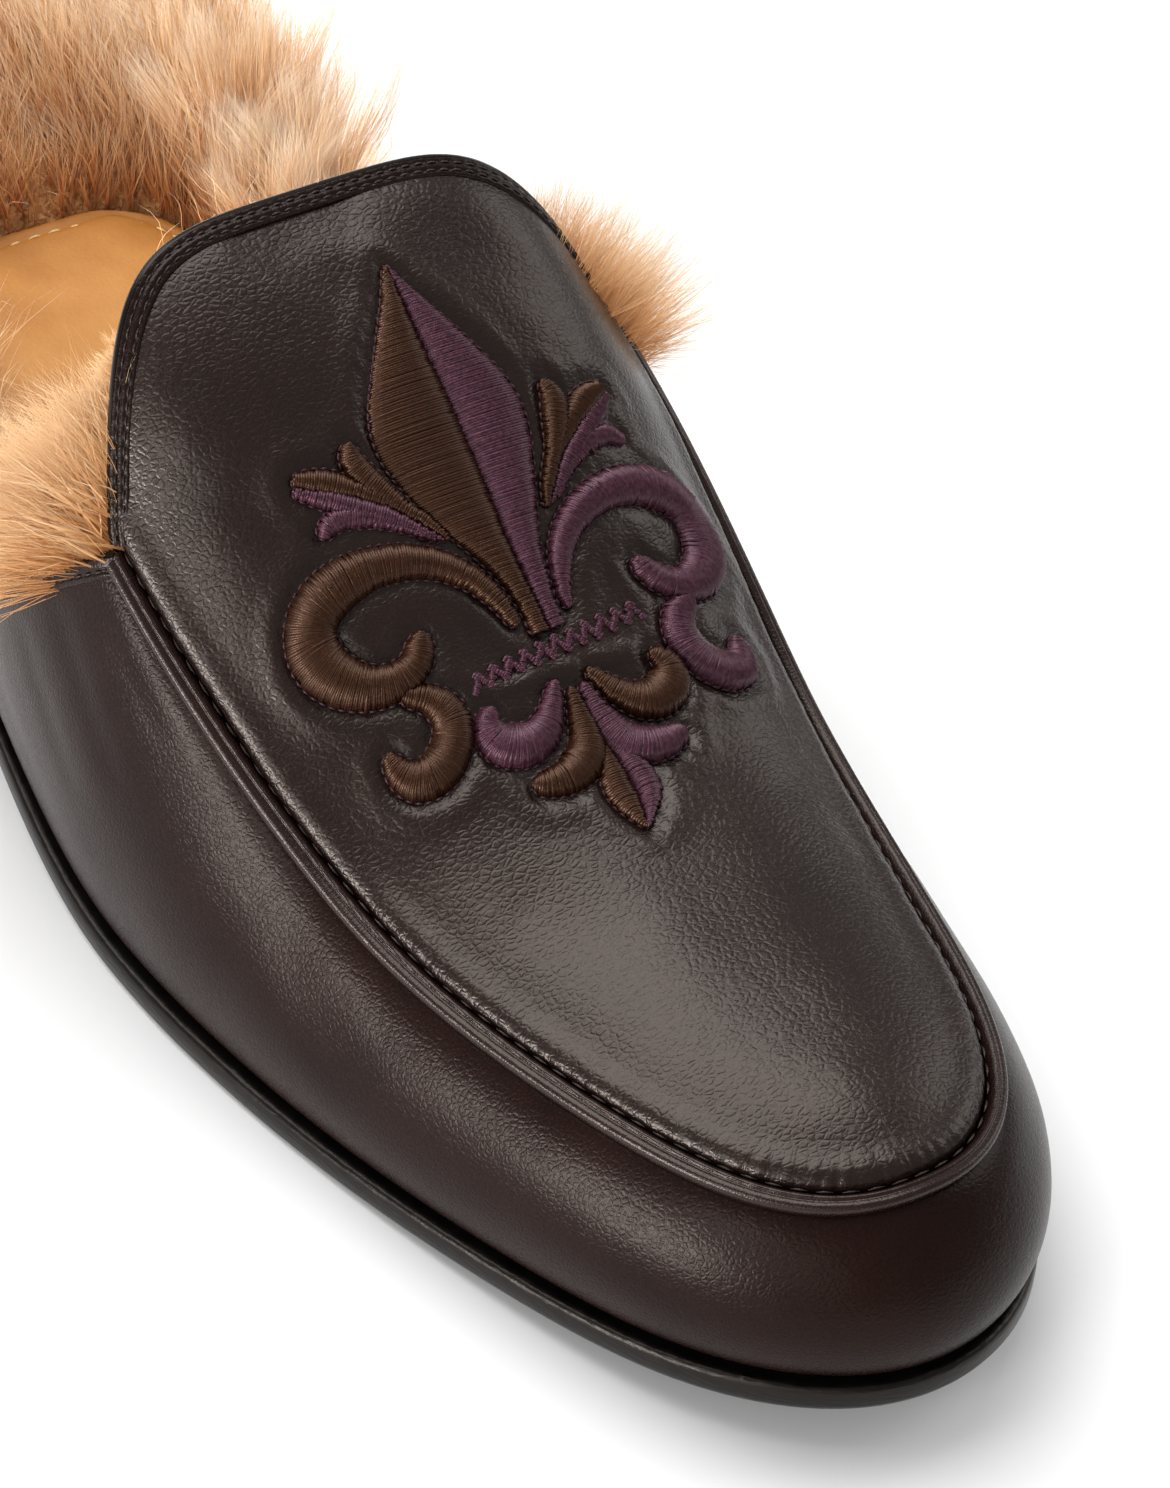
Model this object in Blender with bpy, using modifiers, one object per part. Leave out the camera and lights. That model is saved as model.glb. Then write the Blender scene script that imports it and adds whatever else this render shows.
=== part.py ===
"""Backless fur-lined loafer (mule) for the right foot, as separate closed solids.

Frame: heel towards +Y, toe towards -Y, +Z up, big-toe (inner) side towards +X.
Tables and sizes are in millimetres; a station is a fraction of LENGTH from heel (0) to toe (1).
Vertices are written in metres.
"""

import math

import bmesh
import bpy
import numpy as np

MM = 0.001
NAME = "loafer"

# ---- driving sizes, mm -------------------------------------------------------------------
LENGTH = 280.0          # outsole, heel to toe
SOLE = 4.2              # outsole thickness
LEDGE = 1.8             # outsole showing beyond the upper
HEEL = 14.0             # heel block height
TOE_SPRING = 7.4        # outsole tip above the floor
WALL = 2.2              # upper: leather and its backing
GAP = 0.3               # clearance between pieces that bear on each other
INSOLE = 2.5            # insole board thickness
PAD = 1.6               # sock pad thickness
LINING = 3.5            # dense part of the pile inside the vamp
TRIM = 9.0              # height of the dense pile behind the vamp
TRIM_LOW = 4.5          # and of its front ends, inside the side panels
TRIM_OVERHANG = 4.0     # pile leaning out past the outsole edge at the heel
PIPING_WIDTH = 3.4      # rolled seam between wall and apron
PIPING_RISE = 1.7
SHIFT_X = -2.3          # moves the outline's middle onto the frame's X = 0
SHIFT_Y = 1.6           # same along the shoe: the pile leans out behind the heel

# ---- stations ----------------------------------------------------------------------------
FLAT_FROM = 0.60        # forefoot bearing strip
FLAT_TO = 0.71
HEEL_END = 0.26         # heel breast, and where the shank starts to fall
THROAT = 0.485          # front edge of the opening, on the ridge
TAIL = 0.33             # where the side panels run out on the sole
FAN_FROM = 0.74         # ridge stations bunch up from here to make the toe box
PAD_FROM = 0.185
PAD_TO = 0.66
LINING_TO = 0.84        # how far the pile lines the vamp forwards
TRIM_TO = 0.45          # front ends of the pile on the footbed

# ---- tables: one row per station ---------------------------------------------------------
# outsole half widths, mm:   station, outer side, inner side
OUTLINE = (
    (0.00, 0.0, 0.0),
    (0.03, 17.5, 17.5),
    (0.09, 28.0, 28.0),
    (0.18, 31.9, 31.9),
    (0.30, 36.9, 32.2),
    (0.42, 42.9, 33.5),
    (0.58, 47.8, 42.3),
    (0.70, 44.9, 42.6),
    (0.84, 36.1, 36.3),
    (0.93, 26.8, 27.4),
    (1.00, 0.0, 0.0),
)
# ridge of the last, mm:   station, height above the floor
RIDGE = (
    (0.42, 92.4),
    (0.50, 87.8),
    (0.60, 69.6),
    (0.70, 49.0),
    (0.86, 39.9),
)
# ridge sideways, mm:   station, x
RIDGE_X = (
    (0.50, 0.0),
    (0.68, 4.5),
    (0.86, 4.5),
)
# section fullness (1 = ellipse, less = squarer):   station, outer width, inner width, height
FULLNESS = (
    (0.42, 0.30, 0.41, 0.60),
    (0.72, 0.74, 0.74, 0.75),
    (1.00, 0.84, 0.84, 0.68),
)
# side wall bulge past a plain section, mm:   station, bulge
BULGE = (
    (0.40, 5.9),
    (0.68, 2.7),
    (1.00, 3.3),
)
# apron seam: share of the section angle, walking from the outer side round the toe:   walk, share
SEAM = (
    (-1.00, 0.439),
    (-0.806, 0.454),
    (-0.558, 0.477),
    (-0.300, 0.518),
    (0.00, 0.585),
    (0.300, 0.508),
    (0.558, 0.479),
    (0.806, 0.433),
    (1.00, 0.429),
)
# throat edge:   side: mm it would run forward down at the feather line, curve power
THROAT_EDGE = {
    -1: (60.0, 1.85),
    1: (25.8, 1.52),
}
TIP_X = 5.1             # the toe end leans to the inner side
TAIL_POWER = 0.6        # how quickly the side panels drop behind the throat
PAD_INSET = 11.5        # sock pad edge from the outsole edge
PAD_CORNER = 20.0       # length of its rounded rear corners
PAD_SQUARE = 2.8        # and how square they are

# ---- mesh resolution ---------------------------------------------------------------------
COLUMNS = 30            # per side, from the back edge round to the toe
WALL_ROWS = 6
APRON_ROWS = 9
FINE = 240              # steps used to measure girth


def smooth(table, column=1):
    """Natural cubic spline through one column of a table, as a function of its first column."""
    xs = np.array([row[0] for row in table], float)
    ys = np.array([row[column] for row in table], float)
    step = np.diff(xs)
    count = len(xs)
    matrix = np.eye(count)
    right = np.zeros(count)
    for i in range(1, count - 1):
        matrix[i, i - 1:i + 2] = step[i - 1], 2 * (step[i - 1] + step[i]), step[i]
        right[i] = 6 * ((ys[i + 1] - ys[i]) / step[i] - (ys[i] - ys[i - 1]) / step[i - 1])
    bend = np.linalg.solve(matrix, right)

    def at(x):
        x = np.asarray(x, float)
        i = np.clip(np.searchsorted(xs, x) - 1, 0, count - 2)
        h = step[i]
        a = (xs[i + 1] - x) / h
        b = (x - xs[i]) / h
        curve = ((a ** 3 - a) * bend[i] + (b ** 3 - b) * bend[i + 1]) * h * h / 6
        return a * ys[i] + b * ys[i + 1] + curve

    return at


def eased(t):
    """Smooth step from 0 to 1."""
    t = np.clip(t, 0.0, 1.0)
    return t * t * (3 - 2 * t)


def walk_of(station):
    """Angle used to walk the outline: 0 at the heel, pi at the toe."""
    return np.arccos(np.clip(1 - 2 * np.asarray(station, float), -1, 1))


def station_of(walk):
    return (1 - np.cos(walk)) / 2


OUTLINE_BY_WALK = [(float(walk_of(row[0])), row[1], row[2]) for row in OUTLINE]
HALF_WIDTH = {-1: smooth(OUTLINE_BY_WALK, 1), 1: smooth(OUTLINE_BY_WALK, 2)}
RIDGE_HEIGHT = smooth(RIDGE)
SEAM_SHARE = smooth(SEAM)


def sole_z(station):
    """Underside of the outsole: heel seat, shank, flat forefoot and toe spring."""
    station = np.asarray(station, float)
    spring = np.clip((station - FLAT_TO) / (1 - FLAT_TO), 0, 1) ** 1.8
    rise = eased((FLAT_FROM - station) / (FLAT_FROM - HEEL_END))
    return TOE_SPRING * spring + HEEL * rise


def edge_point(side, walk, inset=0.0):
    """Point on the outsole outline (x, station length u), moved in by inset."""

    def raw(angle):
        station = station_of(angle)
        lean = TIP_X * eased((station - 0.55) / 0.45)
        return lean + side * HALF_WIDTH[side](angle), station * LENGTH

    x, u = raw(walk)
    small = 1e-4
    xa, ua = raw(np.clip(walk - small, 0, math.pi))
    xb, ub = raw(np.clip(walk + small, 0, math.pi))
    run = np.hypot(xb - xa, ub - ua) + 1e-12
    return x - inset * side * (ub - ua) / run, u + inset * side * (xb - xa) / run


def ridge_station(station):
    """Ridge station reached from a feather station: bunched at the toe, so the box closes in a fan."""
    t = np.clip((station - FAN_FROM) / (1 - FAN_FROM), 0, 1)
    fanned = FAN_FROM + (1 - FAN_FROM) * (2 / math.pi) * np.sin(math.pi / 2 * t)
    return np.where(station < FAN_FROM, station, fanned)


def fullness(side, station):
    """Width and height powers of the section at a station."""
    rear, middle, front = FULLNESS
    first = eased((station - rear[0]) / (middle[0] - rear[0]))
    last = eased((station - middle[0]) / (front[0] - middle[0]))
    pick = 1 if side < 0 else 2
    width = rear[pick] + (middle[pick] - rear[pick]) * first + (front[pick] - middle[pick]) * last
    height = rear[3] + (middle[3] - rear[3]) * first + (front[3] - middle[3]) * last
    return width, height


def last_point(side, walk, share):
    """Outer face of the upper: share 0 is the feather line, 1 the ridge. Returns x, u, z."""
    walk = np.asarray(walk, float)
    share = np.asarray(share, float)
    station = station_of(walk)
    foot_x, foot_u = edge_point(side, walk, LEDGE)
    out_x, out_u = edge_point(side, walk, LEDGE - 1)
    foot_z = sole_z(np.clip(foot_u / LENGTH, 0, 1)) + SOLE + GAP
    top = ridge_station(station)
    top_x = np.interp(top, [row[0] for row in RIDGE_X], [row[1] for row in RIDGE_X])
    top_u = top * LENGTH
    top_z = RIDGE_HEIGHT(top)
    slope = (RIDGE_HEIGHT(top + 1e-3) - RIDGE_HEIGHT(top - 1e-3)) / (2e-3 * LENGTH)
    width, height = fullness(side, station)
    angle = math.pi / 2 * share
    across = 1 - np.clip(np.cos(angle), 1e-9, 1) ** width
    up = np.clip(np.sin(angle), 0, 1) ** height
    size = np.interp(station, [row[0] for row in BULGE], [row[1] for row in BULGE])
    bulge = size * 5.0 * up * (1 - up) ** 2
    x = foot_x + (top_x - foot_x) * across + (out_x - foot_x) * bulge
    u = foot_u + (top_u - foot_u) * across + (out_u - foot_u) * bulge
    z = foot_z + (top_z + slope * (u - top_u) - foot_z) * up
    return x, u, z


def seam_share(side, walk):
    """Share of the section at which the apron seam runs."""
    return SEAM_SHARE(np.clip(side * (math.pi - walk) / (math.pi / 2), -1, 1))


def girth_table(side):
    """Share at equal steps of girth for a set of walks: row 0..1 is the wall, 1..2 the apron."""
    walks = np.linspace(walk_of(TAIL - 0.02), math.pi, 60)
    steps = np.linspace(0, 1, 21)
    table = []
    for walk in walks:
        seam = float(seam_share(side, walk))
        row = []
        for low, high in ((0.0, seam), (seam, 1.0)):
            shares = np.linspace(low, high, FINE)
            run = np.stack(last_point(side, walk, shares), 1)
            girth = np.concatenate([[0], np.cumsum(np.linalg.norm(np.diff(run, axis=0), axis=1))])
            row.append(np.interp(steps * girth[-1], girth, shares))
        table.append(np.concatenate([row[0], row[1][1:]]))
    return walks, np.linspace(0, 2, 41), np.array(table)


GIRTH = {side: girth_table(side) for side in (-1, 1)}


def share_at(side, walk, row):
    """Share of the section for a row value: 0 feather, 1 apron seam, 2 ridge."""
    walks, rows, table = GIRTH[side]
    walk, row = np.broadcast_arrays(np.asarray(walk, float), np.asarray(row, float))
    i = np.clip(np.searchsorted(walks, walk) - 1, 0, len(walks) - 2)
    j = np.clip(np.searchsorted(rows, row) - 1, 0, len(rows) - 2)
    a = (walk - walks[i]) / (walks[i + 1] - walks[i])
    b = (row - rows[j]) / (rows[j + 1] - rows[j])
    near = table[i, j] * (1 - b) + table[i, j + 1] * b
    far = table[i + 1, j] * (1 - b) + table[i + 1, j + 1] * b
    return near * (1 - a) + far * a


def throat_walk(side, share):
    """Walk angle of the throat edge at a share of the section."""
    forward, power = THROAT_EDGE[side]
    return walk_of(THROAT + forward / LENGTH * (1 - share) ** power)


def back_walk(side, row):
    """Walk angle of the upper's back edge: side panel below the seam, throat above it."""
    walk = throat_walk(side, 0.7)
    for _ in range(12):
        walk = throat_walk(side, share_at(side, walk, max(row, 1.0)))
    if row >= 1:
        return float(walk)
    corner = station_of(walk)
    return float(walk_of(TAIL + (corner - TAIL) * row ** TAIL_POWER))


def put(x, u, z):
    """Working coordinates to the frame, in metres."""
    return ((x - SHIFT_X) * MM, (LENGTH / 2 - u - SHIFT_Y) * MM, z * MM)


# ---- making solids -----------------------------------------------------------------------
def clear_scene():
    for thing in list(bpy.data.objects):
        bpy.data.objects.remove(thing, do_unlink=True)


def material(name, colour, roughness):
    made = bpy.data.materials.new(name)
    made.use_nodes = True
    shader = made.node_tree.nodes["Principled BSDF"]
    shader.inputs["Base Color"].default_value = (*colour, 1.0)
    shader.inputs["Roughness"].default_value = roughness
    return made


def new_object(name, mesh_data, finish):
    """Write a bmesh into a named object with one material."""
    mesh = bpy.data.meshes.new(name)
    mesh_data.to_mesh(mesh)
    mesh_data.free()
    made = bpy.data.objects.new(name, mesh)
    made.data.materials.append(finish)
    COLLECTION.objects.link(made)
    return made


def close_up(mesh_data):
    """Merge the coincident vertices at pointed ends and turn every face outwards."""
    bmesh.ops.remove_doubles(mesh_data, verts=mesh_data.verts, dist=0.00002)
    bmesh.ops.dissolve_degenerate(mesh_data, edges=mesh_data.edges, dist=0.00001)
    bmesh.ops.recalc_face_normals(mesh_data, faces=mesh_data.faces)


def grid_faces(mesh_data, grid, closed=False):
    """Quads between neighbouring rows of vertices; closed joins each row's end to its start."""
    for upper, lower in zip(grid[1:], grid[:-1]):
        count = len(upper) if closed else len(upper) - 1
        for k in range(count):
            n = (k + 1) % len(upper)
            mesh_data.faces.new((lower[k], lower[n], upper[n], upper[k]))


def shell(name, rows, front, margin, depth, thickness, finish):
    """Open sheet over the last, sunk by depth along its normals, then thickened inwards.

    rows are the row values used, front the walk where it stops, margin its step in from the back edge.
    """
    mesh_data = bmesh.new()
    lines = []
    for row in rows:
        line = []
        for side in (-1, 1):
            start = back_walk(side, row) + margin
            walks = np.linspace(start, front, COLUMNS + 1)
            x, u, z = last_point(side, walks, share_at(side, walks, row))
            points = [mesh_data.verts.new(put(*p)) for p in zip(x, u, z)]
            line.append(points)
        lines.append(line)
    for k in (0, 1):
        grid_faces(mesh_data, [line[k] for line in lines])
    bmesh.ops.remove_doubles(mesh_data, verts=mesh_data.verts, dist=0.00005)
    bmesh.ops.recalc_face_normals(mesh_data, faces=mesh_data.faces)
    mesh_data.normal_update()
    top = max(mesh_data.faces, key=lambda face: face.calc_center_median().z)
    if top.normal.z < 0:
        bmesh.ops.reverse_faces(mesh_data, faces=mesh_data.faces)
        mesh_data.normal_update()
    for vert in mesh_data.verts:
        vert.co -= vert.normal * depth * MM
    made = new_object(name, mesh_data, finish)
    solid = made.modifiers.new("wall", "SOLIDIFY")
    solid.thickness = thickness * MM
    solid.offset = -1
    solid.use_even_offset = True
    solid.use_rim = True
    return made


def sole_loop(walks, inset):
    """Closed outline: outer side from heel to front, then inner side back. inset may vary with walk."""
    inset = np.broadcast_to(inset, walks.shape)
    outer = np.stack(edge_point(-1, walks, inset), 1)
    inner = np.stack(edge_point(1, walks, inset), 1)
    return outer, inner


def slab(name, rings, finish, lift=sole_z):
    """Closed slab lofted through rings of (outer points, inner points, height above lift)."""
    mesh_data = bmesh.new()
    lines = []
    for outer, inner, rise in rings:
        around = np.concatenate([outer, inner[::-1]])
        z = lift(np.clip(around[:, 1] / LENGTH, 0, 1)) + rise
        lines.append([mesh_data.verts.new(put(p[0], p[1], h)) for p, h in zip(around, z)])
    grid_faces(mesh_data, lines, closed=True)
    for line in (lines[0], lines[-1]):
        count = len(line)
        for k in range(count // 2 - 1):
            corners = (line[k], line[k + 1], line[count - 2 - k], line[count - 1 - k])
            mesh_data.faces.new(corners)
    close_up(mesh_data)
    return new_object(name, mesh_data, finish)


def make_outsole(finish):
    walks = np.linspace(0, math.pi, 57)
    rings = []
    for inset, rise in ((1.2, 0.0), (0.0, 1.0), (0.0, SOLE - 0.5), (0.5, SOLE)):
        outer, inner = sole_loop(walks, inset)
        rings.append((outer, inner, rise))
    return slab("outsole", rings, finish)


def insole_inset(walks):
    """Insole edge from the outsole edge: inside the upper's wall in front, near the edge behind."""
    behind = 1.5
    inside = LEDGE + WALL + 2 * GAP
    return behind + (inside - behind) * eased((station_of(walks) - TAIL + 0.09) / 0.07)


def make_insole(finish):
    walks = np.linspace(0, math.pi, 49)
    rings = []
    for rise in (0.0, INSOLE):
        outer, inner = sole_loop(walks, insole_inset(walks))
        rings.append((outer, inner, SOLE + GAP + rise))
    return slab("insole", rings, finish)


def make_heel(finish):
    """Low block under the heel seat, standing on the floor, its front face slightly raked."""
    rings = []
    for inset, front, height in ((2.6, 0.235, 0.0), (2.0, 0.236, 0.8), (0.8, 0.255, HEEL - GAP)):
        walks = np.linspace(0, float(walk_of(front)), 20)
        outer, inner = sole_loop(walks, inset)
        rings.append((outer, inner, height))
    return slab("heel", rings, finish, lift=lambda station: 0 * station)


def pad_edge(inset, count):
    """Sock pad outline: follows the sole, with rounded rear corners and a straight front."""
    stations = PAD_FROM + (PAD_TO - PAD_FROM) * np.linspace(0, 1, count) ** 1.7
    walks = walk_of(stations)
    into = np.clip((stations - PAD_FROM) * LENGTH / PAD_CORNER, 0, 1)
    full = (1 - (1 - into) ** PAD_SQUARE) ** (1 / PAD_SQUARE)
    sides = []
    for side in (-1, 1):
        x, _ = edge_point(side, walks, 0.0)
        middle = TIP_X * eased((stations - 0.55) / 0.45)
        reach = np.maximum(np.abs(x - middle) - PAD_INSET, 1.0) * full
        u = stations * LENGTH + np.where(stations < PAD_FROM + 0.01, inset, 0.0)
        sides.append(np.stack([middle + side * np.maximum(reach - inset, 0.0), u], 1))
    return sides


def make_pad(finish):
    base = SOLE + GAP + INSOLE + GAP
    rings = []
    for inset, rise in ((0.0, 0.0), (0.0, PAD - 0.5), (0.6, PAD)):
        outer, inner = pad_edge(inset, 26)
        rings.append((outer, inner, base + rise))
    return slab("sock_pad", rings, finish)


def make_piping(finish):
    """Half-round bead riding just clear of the upper along the apron seam."""
    mesh_data = bmesh.new()
    centres = []
    outwards = []
    sideways = []
    start, end = back_walk(-1, 1.0) + 0.012, back_walk(1, 1.0) + 0.012
    path = [(-1, w) for w in np.linspace(start, math.pi, 40)]
    path += [(1, w) for w in np.linspace(math.pi, end, 40)[1:]]
    for side, walk in path:
        centre = np.array(last_point(side, walk, share_at(side, walk, 1.0)))
        below = np.array(last_point(side, walk, share_at(side, walk, 0.95)))
        above = np.array(last_point(side, walk, share_at(side, walk, 1.05)))
        centres.append(centre)
        sideways.append((above - below) / np.linalg.norm(above - below))
    centres = np.array(centres)
    sideways = np.array(sideways)
    along = np.gradient(centres, axis=0)
    outwards = np.cross(along, sideways)
    outwards /= np.linalg.norm(outwards, axis=1)[:, None]
    if outwards[0, 2] < 0:
        outwards = -outwards
    lines = []
    profile = [(-0.5, 0.0), (-0.46, 0.45), (-0.2, 0.9), (0.2, 0.9), (0.46, 0.45), (0.5, 0.0)]
    for centre, out, across in zip(centres, outwards, sideways):
        line = []
        for place, rise in profile:
            point = centre + across * place * PIPING_WIDTH + out * (2 * GAP + rise * PIPING_RISE)
            line.append(mesh_data.verts.new(put(*point)))
        lines.append(line)
    grid_faces(mesh_data, lines, closed=True)
    mesh_data.faces.new(lines[0])
    mesh_data.faces.new(lines[-1])
    close_up(mesh_data)
    return new_object("apron_piping", mesh_data, finish)


def trim_outer(station):
    """Outer edge of the footbed pile from the outsole edge: over it behind, inside the wall in front."""
    inside = LEDGE + WALL + 3 * GAP
    return -TRIM_OVERHANG + (inside + TRIM_OVERHANG) * eased((station - TAIL + 0.08) / 0.06)


def trim_inner(side, reach):
    """Inner edge of the footbed pile: just outside the sock pad, round its rear corners."""
    edge = pad_edge(-2 * GAP, 26)[0 if side < 0 else 1]
    rear = PAD_FROM * LENGTH
    corner = 0.45
    if reach < corner:
        u = rear + PAD_CORNER * (1 - math.cos(reach / corner * math.pi / 2)) - 2 * GAP
    else:
        part = (reach - corner) / (1 - corner)
        u = rear + PAD_CORNER + (TRIM_TO * LENGTH - rear - PAD_CORNER) * part
    x = float(np.interp(u, edge[:, 1], edge[:, 0])) if reach > 0 else 0.0
    return x, u


def make_trim(finish):
    """Dense pile on the footbed: a domed U round the sock pad, leaning out over the heel seat's edge."""
    mesh_data = bmesh.new()
    base = SOLE + GAP + INSOLE + GAP
    front = float(walk_of(TRIM_TO))
    top = [(0.0, 0.0), (0.03, 0.55), (0.25, 0.95), (0.6, 1.0), (0.88, 0.7), (1.0, 0.25)]
    profile = top + [(place, 0.0) for place in (0.96, 0.72, 0.48, 0.24)]
    lines = []
    for step in np.linspace(-1, 1, 61):
        side = -1 if step < 0 else 1
        walk = front * abs(step)
        station = float(station_of(walk))
        out_x, out_u = edge_point(side, walk, float(trim_outer(station)))
        in_x, in_u = trim_inner(side, abs(step))
        height = TRIM_LOW + (TRIM - TRIM_LOW) * float(eased((TAIL + 0.05 - station) / 0.12))
        line = []
        for place, rise in profile:
            x = in_x + (out_x - in_x) * place
            u = in_u + (out_u - in_u) * place
            floor = sole_z(np.clip(u / LENGTH, 0, 1)) + base
            line.append(mesh_data.verts.new(put(x, u, float(floor) + rise * height)))
        lines.append(line)
    grid_faces(mesh_data, lines, closed=True)
    mesh_data.faces.new(lines[0])
    mesh_data.faces.new(lines[-1])
    close_up(mesh_data)
    return new_object("fur_trim", mesh_data, finish)


clear_scene()
COLLECTION = bpy.data.collections.new(NAME)
bpy.context.scene.collection.children.link(COLLECTION)

BROWN = material("upper_leather", (0.045, 0.030, 0.026), 0.45)
BEAD = material("piping_leather", (0.035, 0.023, 0.020), 0.40)
PILE = material("lining_fur", (0.58, 0.36, 0.19), 0.95)
TRIM_PILE = material("trim_fur", (0.62, 0.40, 0.22), 0.95)
TAN = material("sock_leather", (0.68, 0.38, 0.14), 0.55)
BOARD = material("insole_board", (0.45, 0.30, 0.18), 0.80)
BLACK = material("outsole_leather", (0.022, 0.022, 0.024), 0.45)
STACK = material("heel_leather", (0.020, 0.019, 0.020), 0.50)

WALL_VALUES = list(np.linspace(0, 1, WALL_ROWS + 1))
APRON_VALUES = list(np.linspace(1, 2, APRON_ROWS + 1))[1:]
make_outsole(BLACK)
make_heel(STACK)
make_insole(BOARD)
make_pad(TAN)
shell("upper", WALL_VALUES + APRON_VALUES, math.pi, 0.0, 0.0, WALL, BROWN)
make_piping(BEAD)
LINING_VALUES = [0.3, 0.5, 0.75, 1.0] + list(np.linspace(1, 2, 7))[1:]
shell("fur_lining", LINING_VALUES, float(walk_of(LINING_TO)), 0.03, WALL + 2 * GAP, LINING, PILE)
make_trim(TRIM_PILE)
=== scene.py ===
"""Looks of a backless fur-lined loafer: nappa panels, rolled seam, embroidery, sole and long pile.

Working coordinates are millimetres: x towards the inner side, u from heel to toe, z up.
place() turns them into the frame. The last's tables and functions are those of the CAD source.
"""

import math

import bpy
import numpy as np
from mathutils import Matrix, Vector


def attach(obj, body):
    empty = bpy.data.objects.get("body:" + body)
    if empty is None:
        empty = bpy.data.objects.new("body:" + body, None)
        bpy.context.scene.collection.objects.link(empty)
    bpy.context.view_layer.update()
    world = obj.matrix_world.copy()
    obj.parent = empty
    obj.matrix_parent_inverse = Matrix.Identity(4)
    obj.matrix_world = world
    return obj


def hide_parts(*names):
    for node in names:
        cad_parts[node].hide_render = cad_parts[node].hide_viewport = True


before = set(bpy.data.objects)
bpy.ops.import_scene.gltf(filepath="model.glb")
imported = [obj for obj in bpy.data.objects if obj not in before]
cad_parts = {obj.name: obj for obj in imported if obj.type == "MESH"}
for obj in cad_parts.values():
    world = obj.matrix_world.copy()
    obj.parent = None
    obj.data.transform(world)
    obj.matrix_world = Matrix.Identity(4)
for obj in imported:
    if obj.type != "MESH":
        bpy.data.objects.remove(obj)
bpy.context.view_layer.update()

MM = 0.001
UP = np.array([0.0, 0.0, 1.0])

# ---- the last, mm ------------------------------------------------------------------------
LENGTH = 280.0          # outsole, heel to toe
SOLE = 4.2              # its thickness
LEDGE = 1.8             # how far it stands out past the upper
HEEL = 14.0             # height of the heel block
TOE_SPRING = 7.4
WALL = 2.2              # leather and backing of the upper
GAP = 0.3               # between solids that meet
INSOLE = 2.5            # thickness of the insole
PAD = 1.6               # and of the sock pad
TRIM = 9.0              # height of the footbed's pile round the heel
TRIM_LOW = 4.5          # and beside the walls
TRIM_OVERHANG = 4.0     # how far it stands out over the sole round the heel
SHIFT_X = -2.3          # the frame's origin, off the last's axis
SHIFT_Y = 1.6           # and behind the middle of its length
# stations, as shares of the length from the heel
FLAT_FROM = 0.60        # the tread lies flat between these two
FLAT_TO = 0.71
HEEL_END = 0.26         # front of the raised seat
HEEL_BREAST = 0.235     # front of the heel block at the floor
HEEL_LEAN = 0.02        # and how much further forward it is at its top
THROAT = 0.485          # throat edge at the ridge
TAIL = 0.33             # rear end of the side walls
FAN_FROM = 0.74         # from here on the sections fan round the toe
PAD_FROM = 0.185        # sock pad
PAD_TO = 0.66
TRIM_TO = 0.45          # front end of the footbed's pile
# station, outer, inner half width of the sole
OUTLINE = (
    (0.00, 0.0, 0.0),
    (0.03, 17.5, 17.5),
    (0.09, 28.0, 28.0),
    (0.18, 31.9, 31.9),
    (0.30, 36.9, 32.2),
    (0.42, 42.9, 33.5),
    (0.58, 47.8, 42.3),
    (0.70, 44.9, 42.6),
    (0.84, 36.1, 36.3),
    (0.93, 26.8, 27.4),
    (1.00, 0.0, 0.0),
)
# station, ridge height
RIDGE = ((0.42, 92.4), (0.50, 87.8), (0.60, 69.6), (0.70, 49.0), (0.86, 39.9))
# station, ridge sideways
RIDGE_X = ((0.50, 0.0), (0.68, 4.5), (0.86, 4.5))
# station, outer width, inner width, height power of the section
FULLNESS = ((0.42, 0.30, 0.41, 0.60), (0.72, 0.74, 0.74, 0.75), (1.00, 0.84, 0.84, 0.68))
# station, side wall bulge
BULGE = ((0.40, 5.9), (0.68, 2.7), (1.00, 3.3))
# walk round the toe from the outer side, share of the section at the apron seam
SEAM = (
    (-1.00, 0.439),
    (-0.806, 0.454),
    (-0.558, 0.477),
    (-0.300, 0.518),
    (0.00, 0.585),
    (0.300, 0.508),
    (0.558, 0.479),
    (0.806, 0.433),
    (1.00, 0.429),
)
# how far the throat edge runs forward to the seam, and its curve's power, by side
THROAT_EDGE = {-1: (60.0, 1.85), 1: (25.8, 1.52)}
TAIL_POWER = 0.6        # curve of the side walls' rear edge
TIP_X = 5.1             # how far the toe leans inwards,
TIP_FROM = 0.55         # from this station on
SEAT_INSET = 1.5        # insole's edge behind the walls, in from the sole's
PAD_INSET = 11.5        # pad's edge, in from the sole's
PAD_CORNER = 20.0       # length of its rounded rear
PAD_SQUARE = 2.8        # and how square that is

# ---- making, mm --------------------------------------------------------------------------
PIPING_OUTER = 2.8      # width of the seam bead on the outer side, round the toe, on the inner side
PIPING_TOE = 2.3
PIPING_INNER = 1.9
PIPING_RISE = 1.35
SEAM_PITCH = 3.0        # stitches of the apron seam
BINDING = 2.35          # folded strip along the throat
BINDING_RISE = 0.5
EDGE_ROLL = 0.9         # radius of its painted outer edge
TOP_STITCH = 1.8        # pitch of the two rows on the binding
ROW_OUTER = 0.75        # where the rows lie, from the edge
ROW_INNER = 1.9
PAD_ROLL = 0.9          # drop of the pad's edge
PAD_SEAM = 2.6          # its stitch row, in from the edge
PAD_PITCH = 3.1
PAD_STITCH = (1.9, 0.55, 0.4)
SIDE_BINDING = 2.4      # the strips along the side walls' rear edges have one row
SIDE_RISE = 0.4
SIDE_ROW = 1.6
THREAD = 0.34           # embroidery thread, laid side by side
OVERLAP = 1.3           # how many of those places each thread covers
OVERHANG = 0.12         # how far the threads go past a shape's edge
RAGGED = 0.10           # and how unevenly
SWAY = 0.05             # how far a thread strays from its straight way
CREST = 0.14            # its round back
FELT_UNDER = 0.14       # felt padding below the threads
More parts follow.
